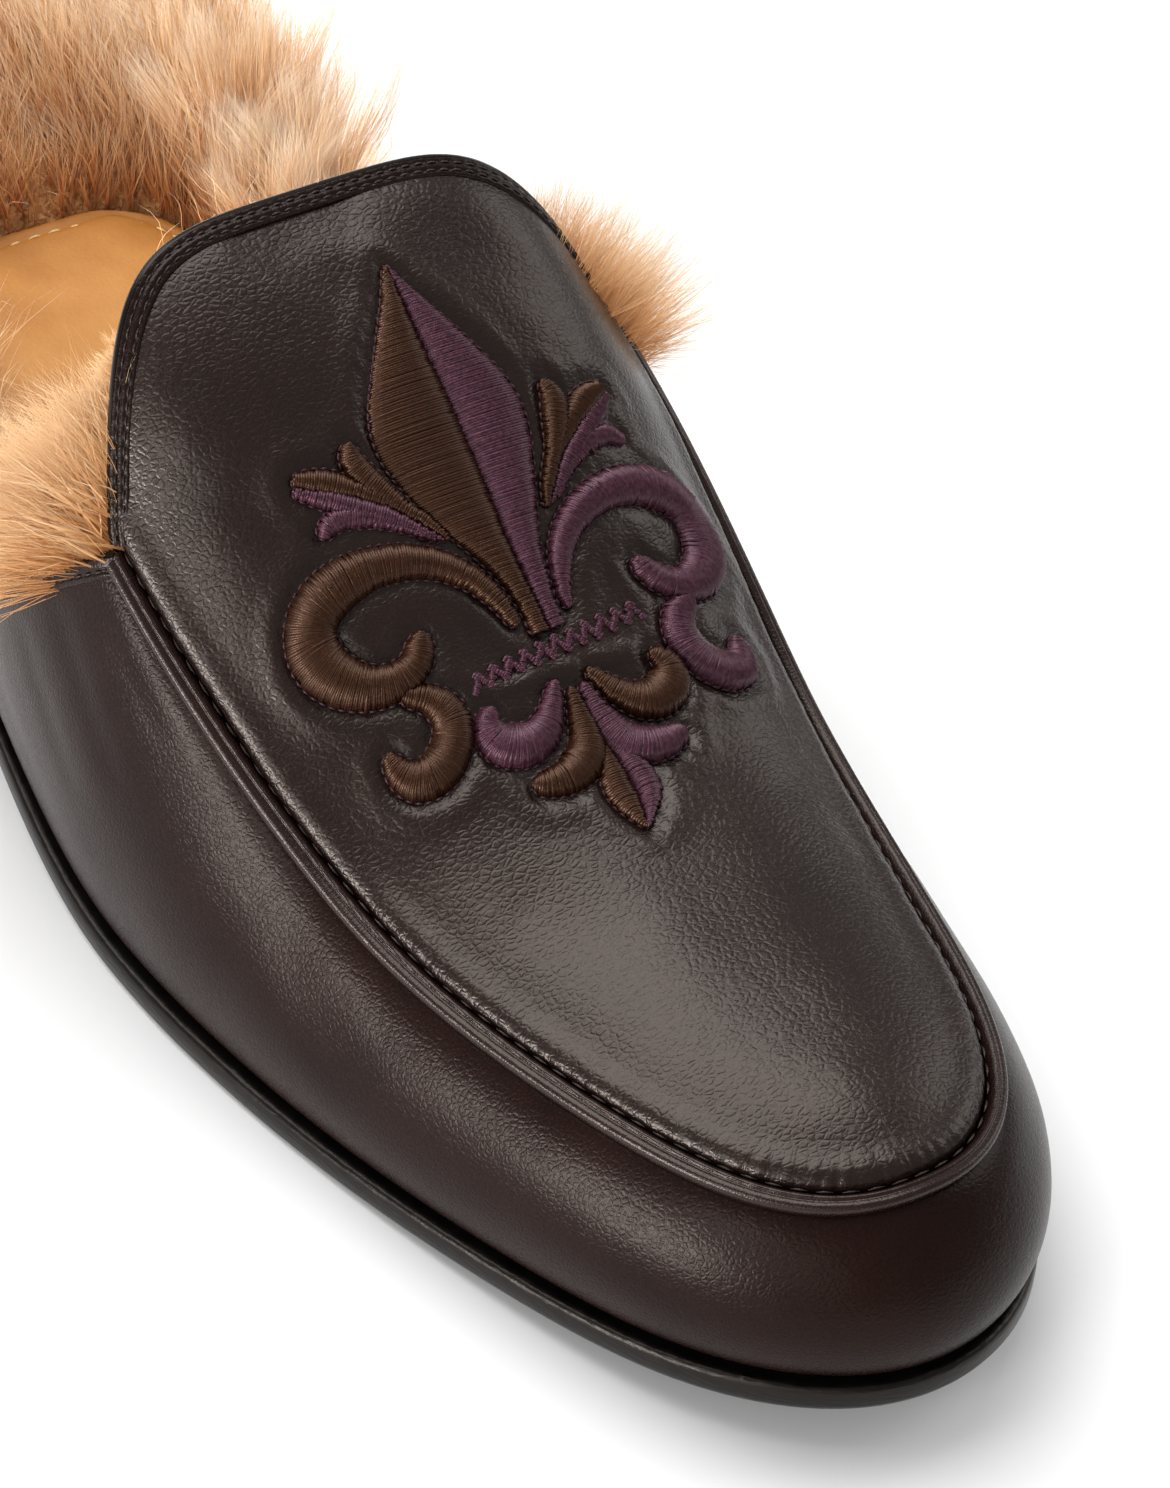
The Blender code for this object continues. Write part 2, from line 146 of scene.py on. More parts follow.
OUTLINE_OUT = 0.22      # stitches round a shape: distance from its edge, pitch
OUTLINE_PITCH = 1.25
OUTLINE_STITCH = (1.1, 0.5, 0.5)        # length, width, height of one
SEAM_THICK = 0.42       # thickness of the seam's stitches, and of the binding's
TOP_THICK = 0.36
AXIS = -1.2             # the ornament's axis, off the ridge
ORNAMENT_FROM = 6.0     # region of the apron that its distances are worked out for
ORNAMENT_TO = 98.0
ORNAMENT_HALF = 42.0
LINE_GAP = 0.25         # spacing of points along its curved and its straight shapes
STRAIGHT_GAP = 0.3
HIDE = 1.2              # skin that the lining's hair grows from
HIDE_TO_Q = 1.96        # how far it and its hair go down the walls, as q
HAIR_TO_Q = 1.5
HAIR_SIDE = 49.0        # how far the pile reaches from the middle before it bends round
HAIR_REAR = -12.0       # and behind the heel
HAIR_BEND = 8.5

CURVE_SAMPLES = 600     # points along a curve before it is spaced evenly
GIRTH_SAMPLES = 240     # points along a section when its girth is measured
RIM = 0.3               # length of the ornament's shortest rounded end
FAR = 50.0              # stands for a distance too far to matter

# ---- the ornament, mm: a = in front of the throat edge, c = across from its axis --------------
# a, left edge, middle, right edge
SPEAR = (
    (13.0, 1.1, 1.3, 1.5),
    (17.0, -1.3, 1.1, 3.1),
    (21.5, -4.3, 0.9, 5.3),
    (25.5, -6.9, 0.9, 7.2),
    (29.0, -9.1, 0.9, 8.7),
    (32.5, -10.4, 0.9, 9.6),
    (36.0, -10.6, 0.8, 9.5),
    (40.0, -9.7, 0.7, 8.5),
    (45.5, -7.5, 0.4, 6.3),
    (50.0, -5.1, 0.1, 4.5),
    (54.0, -3.3, 0.0, 3.3),
    (58.0, -2.4, 0.0, 2.5),
    (62.0, -2.1, 0.1, 2.1),
)
LEAF_MIDDLE = (
    (78.6, -0.8, 0.4, 1.6),
    (81.0, -2.1, 0.5, 3.3),
    (83.5, -2.9, 0.6, 4.1),
    (86.0, -2.7, 0.4, 3.7),
    (88.3, -1.8, 0.0, 1.9),
    (90.2, -0.7, -0.5, -0.3),
)
# a, c, half width
SCROLL = (
    (60.3, 3.7, 0.7),
    (57.0, 4.4, 1.1),
    (53.6, 6.0, 1.5),
    (50.5, 8.9, 1.8),
    (48.3, 12.9, 2.1),
    (47.2, 17.2, 2.4),
    (47.1, 21.6, 2.9),
    (48.1, 25.9, 3.3),
    (50.6, 28.2, 3.4),
    (54.5, 28.1, 3.2),
    (58.4, 25.5, 2.7),
    (60.5, 21.6, 2.3),
    (60.0, 18.0, 2.0),
    (58.2, 16.2, 1.7),
    (56.4, 15.5, 1.3),
)
HOOK = (
    (62.3, 21.0, 1.0),
    (64.4, 18.1, 1.8),
    (67.2, 16.7, 2.3),
    (70.2, 17.5, 2.6),
    (72.4, 20.2, 2.7),
    (72.3, 23.4, 2.4),
    (69.9, 25.3, 1.6),
    (67.5, 25.6, 0.8),
)
LOBE_TOP = (
    (47.5, 7.0, 0.3),
    (44.4, 8.8, 0.8),
    (41.4, 11.0, 1.0),
    (38.8, 12.5, 1.4),
    (36.4, 13.7, 1.7),
    (34.2, 14.2, 1.4),
    (32.2, 13.6, 0.8),
)
LOBE_MIDDLE = (
    (43.8, 9.2, 0.3),
    (40.8, 12.0, 0.9),
    (38.2, 14.9, 1.2),
    (36.2, 17.4, 1.5),
    (34.6, 19.8, 1.3),
    (33.4, 22.3, 0.6),
)
LOBE_UNDER = (
    (47.3, 7.8, 0.2),
    (44.8, 10.2, 0.6),
    (42.2, 13.0, 1.1),
    (39.9, 15.9, 1.3),
    (37.9, 18.4, 1.3),
    (36.1, 20.7, 0.9),
    (34.4, 22.6, 0.4),
)
LOBE_LOW = (
    (46.9, 8.8, 0.2),
    (44.3, 11.4, 0.6),
    (42.1, 14.2, 1.0),
    (40.6, 17.0, 1.3),
    (40.1, 19.6, 1.3),
    (41.2, 21.9, 0.8),
)
CURL = (
    (68.4, 2.4, 0.6),
    (70.8, 3.8, 1.3),
    (73.4, 6.0, 2.1),
    (74.5, 9.0, 2.7),
    (73.2, 12.0, 2.6),
    (70.6, 12.7, 1.9),
    (68.8, 11.2, 1.0),
)
LEAF_SIDE = (
    (69.9, 0.9, 0.6),
    (73.1, 1.2, 1.3),
    (76.5, 1.8, 2.1),
    (79.0, 3.3, 2.5),
    (80.2, 6.4, 2.2),
    (80.0, 9.3, 1.6),
    (79.3, 10.9, 0.9),
)
BAND_AT = 64.4          # stitched cross band under the spear
BAND_HALF = 12.5
BAND_TILT = -0.085
BAND_WIDTH = 2.4
BAND_BARS = 22          # its zigzag: bars, how far each leans, half width of one
BAND_LEAN = 0.75
BAND_BAR = 0.42


# ======== the last =========================================================================
def smooth(table, column=1):
    """Natural cubic spline through one column of a table, as a function of its first column."""
    xs = np.array([row[0] for row in table], float)
    ys = np.array([row[column] for row in table], float)
    step = np.diff(xs)
    count = len(xs)
    matrix = np.eye(count)
    right = np.zeros(count)
    for i in range(1, count - 1):
        matrix[i, i - 1:i + 2] = step[i - 1], 2 * (step[i - 1] + step[i]), step[i]
        right[i] = 6 * ((ys[i + 1] - ys[i]) / step[i] - (ys[i] - ys[i - 1]) / step[i - 1])
    bend = np.linalg.solve(matrix, right)

    def at(x):
        x = np.asarray(x, float)
        i = np.clip(np.searchsorted(xs, x) - 1, 0, count - 2)
        h = step[i]
        a = (xs[i + 1] - x) / h
        b = (x - xs[i]) / h
        curve = ((a ** 3 - a) * bend[i] + (b ** 3 - b) * bend[i + 1]) * h * h / 6
        return a * ys[i] + b * ys[i + 1] + curve

    return at


def eased(t):
    """0 to 1 over t from 0 to 1, without a kink at either end."""
    t = np.clip(t, 0.0, 1.0)
    return t * t * (3 - 2 * t)


def bell(x, centre, width):
    """1 at the centre, falling off to about 0 two widths away."""
    return np.exp(-((x - centre) / width) ** 2)


def length_along(path):
    """Running length in mm at each point of a path."""
    return np.concatenate([[0], np.cumsum(np.linalg.norm(np.diff(path, axis=0), axis=1))])


def sampled(at, run, values):
    """Rows of values at places along a path whose running length is run."""
    return np.stack([np.interp(at, run, values[:, k]) for k in range(values.shape[1])], 1)


def walk_of(station):
    """Angle used to walk the outline: 0 at the heel, pi at the toe."""
    return np.arccos(np.clip(1 - 2 * np.asarray(station, float), -1, 1))


def station_of(walk):
    """Share of the length from the heel at a walk angle."""
    return (1 - np.cos(walk)) / 2


def middle_x(station):
    """Middle line of the last, which leans inwards at the toe."""
    return TIP_X * eased((station - TIP_FROM) / (1 - TIP_FROM))


OUTLINE_BY_WALK = [(float(walk_of(row[0])), row[1], row[2]) for row in OUTLINE]
HALF_WIDTH = {-1: smooth(OUTLINE_BY_WALK, 1), 1: smooth(OUTLINE_BY_WALK, 2)}
RIDGE_HEIGHT = smooth(RIDGE)
SEAM_SHARE = smooth(SEAM)


def column(table, place, pick=1):
    """One column of a table at a place in its first column, on straight lines between its rows."""
    return np.interp(place, [row[0] for row in table], [row[pick] for row in table])


def sole_z(station):
    """Underside of the outsole."""
    station = np.clip(np.asarray(station, float), 0, 1)
    spring = np.clip((station - FLAT_TO) / (1 - FLAT_TO), 0, 1) ** 1.8
    return TOE_SPRING * spring + HEEL * eased((FLAT_FROM - station) / (FLAT_FROM - HEEL_END))


def edge_point(side, walk, inset=0.0):
    """Point on the outsole outline (x, u), moved in by inset."""

    def raw(angle):
        station = station_of(angle)
        return middle_x(station) + side * HALF_WIDTH[side](angle), station * LENGTH

    x, u = raw(walk)
    xa, ua = raw(np.clip(walk - 1e-4, 0, math.pi))
    xb, ub = raw(np.clip(walk + 1e-4, 0, math.pi))
    run = np.hypot(xb - xa, ub - ua) + 1e-12
    return x - inset * side * (ub - ua) / run, u + inset * side * (xb - xa) / run


def ridge_station(station):
    """Station of the ridge point that a section reaches: the toe's sections fan towards it."""
    t = np.clip((station - FAN_FROM) / (1 - FAN_FROM), 0, 1)
    fanned = FAN_FROM + (1 - FAN_FROM) * (2 / math.pi) * np.sin(math.pi / 2 * t)
    return np.where(station < FAN_FROM, station, fanned)


def fullness(side, station):
    """Powers of a section's curve, across and up."""
    rear, middle, front = FULLNESS
    first = eased((station - rear[0]) / (middle[0] - rear[0]))
    last = eased((station - middle[0]) / (front[0] - middle[0]))
    pick = 1 if side < 0 else 2
    width = rear[pick] + (middle[pick] - rear[pick]) * first + (front[pick] - middle[pick]) * last
    height = rear[3] + (middle[3] - rear[3]) * first + (front[3] - middle[3]) * last
    return width, height


def last_point(side, walk, share):
    """Outer face of the upper: share 0 is the feather line, 1 the ridge. Returns x, u, z."""
    station = station_of(walk)
    foot_x, foot_u = edge_point(side, walk, LEDGE)
    out_x, out_u = edge_point(side, walk, LEDGE - 1)
    foot_z = sole_z(foot_u / LENGTH) + SOLE + GAP
    top = ridge_station(station)
    top_x = column(RIDGE_X, top)
    top_u = top * LENGTH
    top_z = RIDGE_HEIGHT(top)
    slope = (RIDGE_HEIGHT(top + 1e-3) - RIDGE_HEIGHT(top - 1e-3)) / (2e-3 * LENGTH)
    width, height = fullness(side, station)
    angle = math.pi / 2 * share
    across = 1 - np.clip(np.cos(angle), 1e-9, 1) ** width
    up = np.clip(np.sin(angle), 0, 1) ** height
    bulge = column(BULGE, station) * 5.0 * up * (1 - up) ** 2
    x = foot_x + (top_x - foot_x) * across + (out_x - foot_x) * bulge
    u = foot_u + (top_u - foot_u) * across + (out_u - foot_u) * bulge
    z = foot_z + (top_z + slope * (u - top_u) - foot_z) * up
    return x, u, z


def seam_share(side, walk):
    """Share of the section at which the apron seam crosses it."""
    return SEAM_SHARE(np.clip(side * (math.pi - walk) / (math.pi / 2), -1, 1))


WALKS = np.linspace(walk_of(TAIL - 0.02), math.pi, 200)
STEPS = np.linspace(0, 1, 41)


def share_of_fall(fall, width):
    """Share of the section where the way across has 1 - fall of its width behind it."""
    return 2 / math.pi * np.arccos(np.clip(fall, 0, 1) ** (1 / width))


def girth_table(side):
    """For wall and apron: shares and falls at equal steps of girth, and the two girths in mm."""
    wall, apron, girths = [], [], []
    for walk in WALKS:
        width = float(fullness(side, station_of(walk))[0])
        seam = float(seam_share(side, walk))
        shares = np.linspace(0, seam, GIRTH_SAMPLES)
        falls = np.linspace(math.cos(math.pi / 2 * seam) ** width, 0, GIRTH_SAMPLES)
        sizes = []
        for values, along, kept in ((shares, shares, wall), (falls, share_of_fall(falls, width), apron)):
            girth = length_along(np.stack(last_point(side, walk, along), 1))
            kept.append(np.interp(STEPS * girth[-1], girth, values))
            sizes.append(girth[-1])
        girths.append(sizes)
    return np.array(wall), np.array(apron), np.array(girths)


GIRTH = {side: girth_table(side) for side in (-1, 1)}


def in_table(table, walk, part):
    """Value between the rows (WALKS) and columns (STEPS) of a girth table."""
    i = np.clip(np.searchsorted(WALKS, walk) - 1, 0, len(WALKS) - 2)
    j = np.clip(np.searchsorted(STEPS, part) - 1, 0, len(STEPS) - 2)
    a = (walk - WALKS[i]) / (WALKS[i + 1] - WALKS[i])
    b = (part - STEPS[j]) / (STEPS[j + 1] - STEPS[j])
    near = table[i, j] * (1 - b) + table[i, j + 1] * b
    far = table[i + 1, j] * (1 - b) + table[i + 1, j + 1] * b
    return near * (1 - a) + far * a


def share_at(side, walk, row):
    """Share of the section for a row value: 0 feather, 1 apron seam, 2 ridge."""
    wall, apron, _ = GIRTH[side]
    low = in_table(wall, walk, np.clip(row, 0, 1))
    width, _ = fullness(side, station_of(walk))
    high = share_of_fall(in_table(apron, walk, np.clip(row - 1, 0, 1)), width)
    return np.where(np.asarray(row) < 1, low, high)


def throat_walk(side, share):
    """Walk angle of the throat edge at a share of the section."""
    forward, power = THROAT_EDGE[side]
    return walk_of(THROAT + forward / LENGTH * (1 - share) ** power)


def back_walk(side, row):
    """Walk angle of the upper's back edge: side panel below the seam, throat above it."""
    walk = throat_walk(side, 0.7)
    for _ in range(12):
        walk = throat_walk(side, share_at(side, walk, max(row, 1.0)))
    if row >= 1:
        return float(walk)
    corner = station_of(walk)
    return float(walk_of(TAIL + (corner - TAIL) * row ** TAIL_POWER))


def back_walks(q):
    """back_walk for each q: its side from the sign, its row counted down from the ridge."""
    return np.array([back_walk(-1 if v < 0 else 1, 2 - abs(v)) for v in q])


# ======== walking on the last ==============================================================
# q runs over a section: -2 outer feather, -1 outer seam, 0 ridge, 1 inner seam, 2 inner feather
def skin(walk, q):
    """Points (x, u, z) of the upper's outer face for arrays of walk and q."""
    walk, q = np.broadcast_arrays(np.asarray(walk, float), np.asarray(q, float))
    points = np.empty(walk.shape + (3,))
    for side in (-1, 1):
        here = (q < 0) if side < 0 else (q >= 0)
        w = walk[here]
        points[here] = np.stack(last_point(side, w, share_at(side, w, 2 - np.abs(q[here]))), -1)
    return points


def unit(vectors):
    """Vectors at length 1."""
    return vectors / (np.linalg.norm(vectors, axis=-1, keepdims=True) + 1e-12)


def skin_frame(walk, q):
    """Points with outward normals and the two derivatives."""
    walk, q = np.broadcast_arrays(np.asarray(walk, float), np.asarray(q, float))
    step = 2e-3
    low, high = np.clip(walk - step, 0, math.pi), np.clip(walk + step, 0, math.pi)
    along = (skin(high, q) - skin(low, q)) / (high - low)[..., None]
    left, right = np.clip(q - step, -2, 2), np.clip(q + step, -2, 2)
    across = (skin(walk, right) - skin(walk, left)) / (right - left)[..., None]
    return skin(walk, q), unit(np.cross(across, along)), along, across


def step_on_skin(walk, q, along, across, move):
    """Walk and q after a small move, a vector in the surface."""
    aa = (along * along).sum(-1)
    bb = (across * across).sum(-1)
    ab = (along * across).sum(-1)
    ma = (move * along).sum(-1)
    mb = (move * across).sum(-1)
    det = aa * bb - ab * ab
    return walk + (ma * bb - mb * ab) / det, q + (mb * aa - ma * ab) / det


CHART_WALKS = np.linspace(float(walk_of(0.44)), math.pi, 900)


def ridge_run():
    """Distance along the ridge from the throat edge, for CHART_WALKS."""
    top = ridge_station(station_of(CHART_WALKS))
    run = length_along(np.stack([column(RIDGE_X, top), top * LENGTH, RIDGE_HEIGHT(top)], -1))
    return run - np.interp(float(walk_of(THROAT)), CHART_WALKS, run)


CHART_RUN = ridge_run()
OF_WALL, OF_APRON = 0, 1        # the two girths in a girth table


def girth_at(part, walk, q):
    """Girth of one part of the section on the side that q lies on."""
    outer, inner = (np.interp(walk, WALKS, GIRTH[side][2][:, part]) for side in (-1, 1))
    return np.where(np.asarray(q) < 0, outer, inner)


def chart(a, b):
    """Apron chart: a mm in front of the throat along the ridge, b mm sideways. Gives walk, q."""
    walk = np.interp(a, CHART_RUN, CHART_WALKS)
    return walk, b / girth_at(OF_APRON, walk, b)


# ======== meshes ===========================================================================
def place(points):
    """Working coordinates to the frame, in metres."""
    points = np.asarray(points, float)
    moved = np.empty(points.shape)
    moved[..., 0] = (points[..., 0] - SHIFT_X) * MM
    moved[..., 1] = (LENGTH / 2 - points[..., 1] - SHIFT_Y) * MM
    moved[..., 2] = points[..., 2] * MM
    return moved


def quads(rows, columns, loop_rows=False, loop_columns=False, offset=0):
    """Faces of a grid of vertices numbered row by row."""
    index = np.arange(rows * columns).reshape(rows, columns) + offset
    if loop_rows:
        index = np.vstack([index, index[:1]])
    if loop_columns:
        index = np.hstack([index, index[:, :1]])
    return quads_of(index)


def quads_of(index):
    """Faces of a grid of vertex numbers."""
    return np.stack([index[:-1, :-1], index[:-1, 1:], index[1:, 1:], index[1:, :-1]], -1).reshape(-1, 4)


def copies(one, count, each):
    """Faces of one small item with each vertices, repeated for count items in a row."""
    return (one[None] + np.arange(count)[:, None, None] * each).reshape(-1, one.shape[1])


def piece(name, points, faces, finish, slot, stands_for=()):
    """A smooth-shaded mesh object that rides on the frame. points are working mm."""
    mesh = bpy.data.meshes.new(name)
    mesh.from_pydata(place(points).reshape(-1, 3), [], np.asarray(faces))
    mesh.shade_smooth()
    mesh.update()
    made = bpy.data.objects.new(name, mesh)
    mesh.materials.append(finish)
    bpy.context.scene.collection.objects.link(made)
    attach(made, "root")
    if stands_for:
        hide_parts(*stands_for)
    return made


def vertex_normals(mesh):
    found = np.empty(len(mesh.vertices) * 3, np.float32)
    mesh.vertex_normals.foreach_get("vector", found)
    return found.reshape(-1, 3).astype(float)


def face_up(made):
    """Turns an open sheet over if it faces down on the whole."""
    if float(vertex_normals(made.data)[:, 2].sum()) < 0:
        made.data.flip_normals()


def swell(made, lift):
    """Moves each vertex along its normal by lift mm."""
    mesh = made.data
    co = np.empty(len(mesh.vertices) * 3, np.float32)
    mesh.vertices.foreach_get("co", co)
    moved = co.reshape(-1, 3) + vertex_normals(mesh) * np.asarray(lift).reshape(-1, 1) * MM
    mesh.vertices.foreach_set("co", moved.astype(np.float32).ravel())
    mesh.update()


def ripple(x, y, size, seed=0):
    """Smooth uneven waves about size mm long, between about -1 and 1."""
    rng = np.random.default_rng(seed)
    total = 0
    for _ in range(7):
        turn = rng.uniform(0, math.tau)
        long = size * rng.uniform(0.7, 1.5)
        run = x * math.cos(turn) + y * math.sin(turn)
        total = total + np.sin(run * math.tau / long + rng.uniform(0, math.tau))
    return total / 4.0


def fold(x, y, start, end, depth, width):
    """Soft trough (or ridge, if depth is below 0) along a line, with raised shoulders."""
    (x0, y0), (x1, y1) = start, end
    run = math.hypot(x1 - x0, y1 - y0)
    t = ((x - x0) * (x1 - x0) + (y - y0) * (y1 - y0)) / run ** 2
    off = ((x - x0) * (y1 - y0) - (y - y0) * (x1 - x0)) / run / width
    fade = eased(t / 0.35 + 0.5) * eased((1 - t) / 0.35 + 0.5)
    return -depth * fade * (1 - 0.9 * off ** 2) * np.exp(-off ** 2)


def capsules(centres, along, up, length, width, height):
    """Points and faces of many small stitches, one per row of centres, whose ends dip into the leather."""
    rings, around = 4, 5
    t = np.linspace(-0.5, 0.5, rings)
    turn = np.linspace(0, math.tau, around, endpoint=False)
    side = np.cross(along, up)
    size = np.sqrt(np.clip(1 - (2 * t) ** 2, 0.05, 1))[:, None]
    dip = (2 * t[:, None]) ** 2 * height * 0.35
    centres, along, up, side = (v[:, None, None, :] for v in (centres, along, up, side))
    ring = (1, rings, around, 1)
    body = (
        centres
        + along * np.broadcast_to(t[:, None] * length, (rings, around)).reshape(ring)
        + side * (np.cos(turn) * size * width / 2).reshape(ring)
        + up * (np.sin(turn) * size * height / 2 - dip).reshape(ring)
    )
    faces = copies(quads(rings, around, loop_columns=True), len(centres), rings * around)
    return body.reshape(-1, 3), faces


def stitch_line(path, up, pitch, length, width, height):
    """Stitches evenly along a dense path."""
    run = length_along(path)
    count = int(run[-1] / pitch)
    at = (np.arange(count) + 0.5) * run[-1] / count
    along = unit(sampled(at + 0.3, run, path) - sampled(at - 0.3, run, path))
    return capsules(sampled(at, run, path), along, unit(sampled(at, run, up)), length, width, height)


def joined(parts):
    """Several (points, faces) as one."""
    points, faces, offset = [], [], 0
    for some_points, some_faces in parts:
        points.append(some_points.reshape(-1, 3))
        faces.append(some_faces + offset)
        offset += len(points[-1])
    return np.concatenate(points), np.concatenate(faces)


# ======== materials ========================================================================
def linear(colour):
    """sRGB hex to linear RGBA."""
    values = [int(colour[i:i + 2], 16) / 255 for i in (1, 3, 5)]
    return (*[v / 12.92 if v <= 0.04045 else ((v + 0.055) / 1.055) ** 2.4 for v in values], 1.0)


def add(tree, kind, inputs=None, stops=(), **settings):
    """A node with its settings; inputs are values or the outputs that feed them, stops a ramp's colours."""
    made = tree.nodes.new("ShaderNode" + kind)
    for name, value in settings.items():
        setattr(made, name, value)
    for name, value in (inputs or {}).items():
        if isinstance(value, bpy.types.NodeSocket):
            tree.links.new(value, made.inputs[name])
        else:
            made.inputs[name].default_value = value
    for number, (position, colour) in enumerate(stops):
        points = made.color_ramp.elements
        point = points[number] if number < 2 else points.new(position)
        point.position = position
        point.color = linear(colour)
    return made


def per_mm(size):
    """Scale of a pattern whose cells or lumps are size mm."""
    return 1 / (size * MM)


def new_finish(name, levels):
    """A material with its node tree and its shader, set to the levels."""
    made = bpy.data.materials.new(name)
    made.use_nodes = True
    tree = made.node_tree
    shader = tree.nodes["Principled BSDF"]
    for level, value in levels.items():
        shader.inputs[level].default_value = value
    return made, tree, shader


def bumps(tree, shader, layers):
    """Stacks heights on the surface: (height output, depth in mm)."""
    normal = None
    for height, depth in layers:
        inputs = {"Height": height, "Distance": depth * MM, "Strength": 1.0}
        if normal:
            inputs["Normal"] = normal
        normal = add(tree, "Bump", inputs).outputs["Normal"]
    tree.links.new(normal, shader.inputs["Normal"])


def puckered(tree):
    """Height of fine puckers that run away from a seam, on a piece that knows its distances from it."""
    run = add(tree, "Attribute", attribute_name="seam_run").outputs["Fac"]
    away = add(tree, "Attribute", attribute_name="seam_away").outputs["Fac"]
    long = add(tree, "Math", {0: run, 1: 0.75}, operation="MULTIPLY").outputs[0]
    across = add(tree, "Math", {0: away, 1: 0.18}, operation="MULTIPLY").outputs[0]
    grid = add(tree, "CombineXYZ", {"X": long, "Y": across}).outputs[0]
    settings = {"Vector": grid, "Scale": 1.0, "Detail": 2.0, "Distortion": 0.6}
    height = add(tree, "TexNoise", settings).outputs["Fac"]
    fade = add(tree, "MapRange", {"Value": away, "From Min": 4.8, "From Max": 1.2}).outputs["Result"]
    return add(tree, "Math", {0: height, 1: fade}, operation="MULTIPLY").outputs[0]


def calf(name, dark, light, roughness, grain, depth, shine, gathers=0.0):
    """Aniline calf, softly glazed: near-black brown, closed pebbles of grain mm with fine grooves between.

    The dyed glaze warms the light it throws back. gathers is the depth in mm of the puckers next to
    a seam.
    """
    levels = {"Roughness": roughness, "IOR": 1.5, "Specular IOR Level": shine, "Specular Tint": WARM_GLAZE}
    made, tree, shader = new_finish(name, levels)
    at = add(tree, "TexCoord").outputs["Object"]
    fine = add(tree, "TexNoise", {"Vector": at, "Scale": per_mm(0.25), "Detail": 2.0}).outputs["Fac"]
    broad = add(tree, "TexNoise", {"Vector": at, "Scale": per_mm(12), "Detail": 2.0}).outputs["Fac"]
    drift = add(tree, "TexNoise", {"Vector": at, "Scale": per_mm(0.9), "Detail": 1.0}).outputs["Color"]
    shift = {0: drift, 1: (0.35 * MM,) * 3, 2: at}
    pulled = add(tree, "VectorMath", shift, operation="MULTIPLY_ADD").outputs[0]
    drawn = add(tree, "Mapping", {"Vector": pulled, "Scale": (0.62, 1.0, 1.0)}).outputs[0]
    plates = []
    for vector, size, border in ((pulled, grain / 0.3, 0.10), (drawn, grain, 0.28)):
        cells = {"Vector": vector, "Scale": per_mm(size)}
        groove = add(tree, "TexVoronoi", cells, feature="DISTANCE_TO_EDGE").outputs["Distance"]
        inside = {"Value": groove, "From Max": border}
        plates.append(add(tree, "MapRange", inside, interpolation_type="SMOOTHSTEP").outputs["Result"])
    layers = [(broad, 0.12), (plates[0], depth * 0.35), (plates[1], depth), (fine, depth * 0.3)]
    if gathers:
        layers.insert(0, (puckered(tree), gathers))
    bumps(tree, shader, layers)
    tone = add(tree, "Math", {0: broad, 1: fine}, operation="ADD").outputs[0]
    half = add(tree, "Math", {0: tone, 1: 0.5}, operation="MULTIPLY").outputs[0]
    dye = add(tree, "ValToRGB", {"Fac": half}, [(0.35, dark), (0.65, light)])
    tree.links.new(dye.outputs["Color"], shader.inputs["Base Color"])
    worn = {"From Min": 0.3, "From Max": 0.7, "To Min": roughness - 0.04, "To Max": roughness + 0.08}
    uneven = add(tree, "MapRange", {"Value": fine, **worn})
    tree.links.new(uneven.outputs["Result"], shader.inputs["Roughness"])
    return made


def dressed_edge(name, dark, light, roughness, depth):
    """Cut leather edge, inked and waxed: black with a dull shine and fine drag marks."""
    levels = {"Roughness": roughness, "IOR": 1.5, "Specular IOR Level": 0.25, "Specular Tint": WARM_GLAZE}
    made, tree, shader = new_finish(name, levels)
    at = add(tree, "TexCoord").outputs["Object"]
    grit = add(tree, "TexNoise", {"Vector": at, "Scale": per_mm(0.4), "Detail": 2.0}).outputs["Fac"]
    drag = add(tree, "Mapping", {"Vector": at, "Scale": (1.0, 1.0, 6.0)}).outputs[0]
    marks = add(tree, "TexNoise", {"Vector": drag, "Scale": per_mm(2.5), "Detail": 4.0}).outputs["Fac"]
    bumps(tree, shader, [(marks, depth), (grit, depth * 0.4)])
    ink = add(tree, "ValToRGB", {"Fac": marks}, [(0.35, dark), (0.7, light)])
    tree.links.new(ink.outputs["Color"], shader.inputs["Base Color"])
    return made


def thread(name, dark, light, roughness=0.42, glow=(1.0, 1.0, 1.0, 1.0)):
    """Rayon floss, bonded nylon or linen thread: dyed through, with a silky gloss in the dye's own tint."""
    levels = {"Roughness": roughness, "IOR": 1.5, "Specular IOR Level": 0.5, "Specular Tint": glow}
    made, tree, shader = new_finish(name, levels)
    at = add(tree, "TexCoord").outputs["Object"]
    strand = add(tree, "TexNoise", {"Vector": at, "Scale": per_mm(0.5), "Detail": 3.0}).outputs["Fac"]
    fibre = add(tree, "TexNoise", {"Vector": at, "Scale": per_mm(0.12), "Detail": 2.0}).outputs["Fac"]
    bumps(tree, shader, [(fibre, 0.03)])
    dye = add(tree, "ValToRGB", {"Fac": strand}, [(0.3, dark), (0.7, light)])
    tree.links.new(dye.outputs["Color"], shader.inputs["Base Color"])
    return made


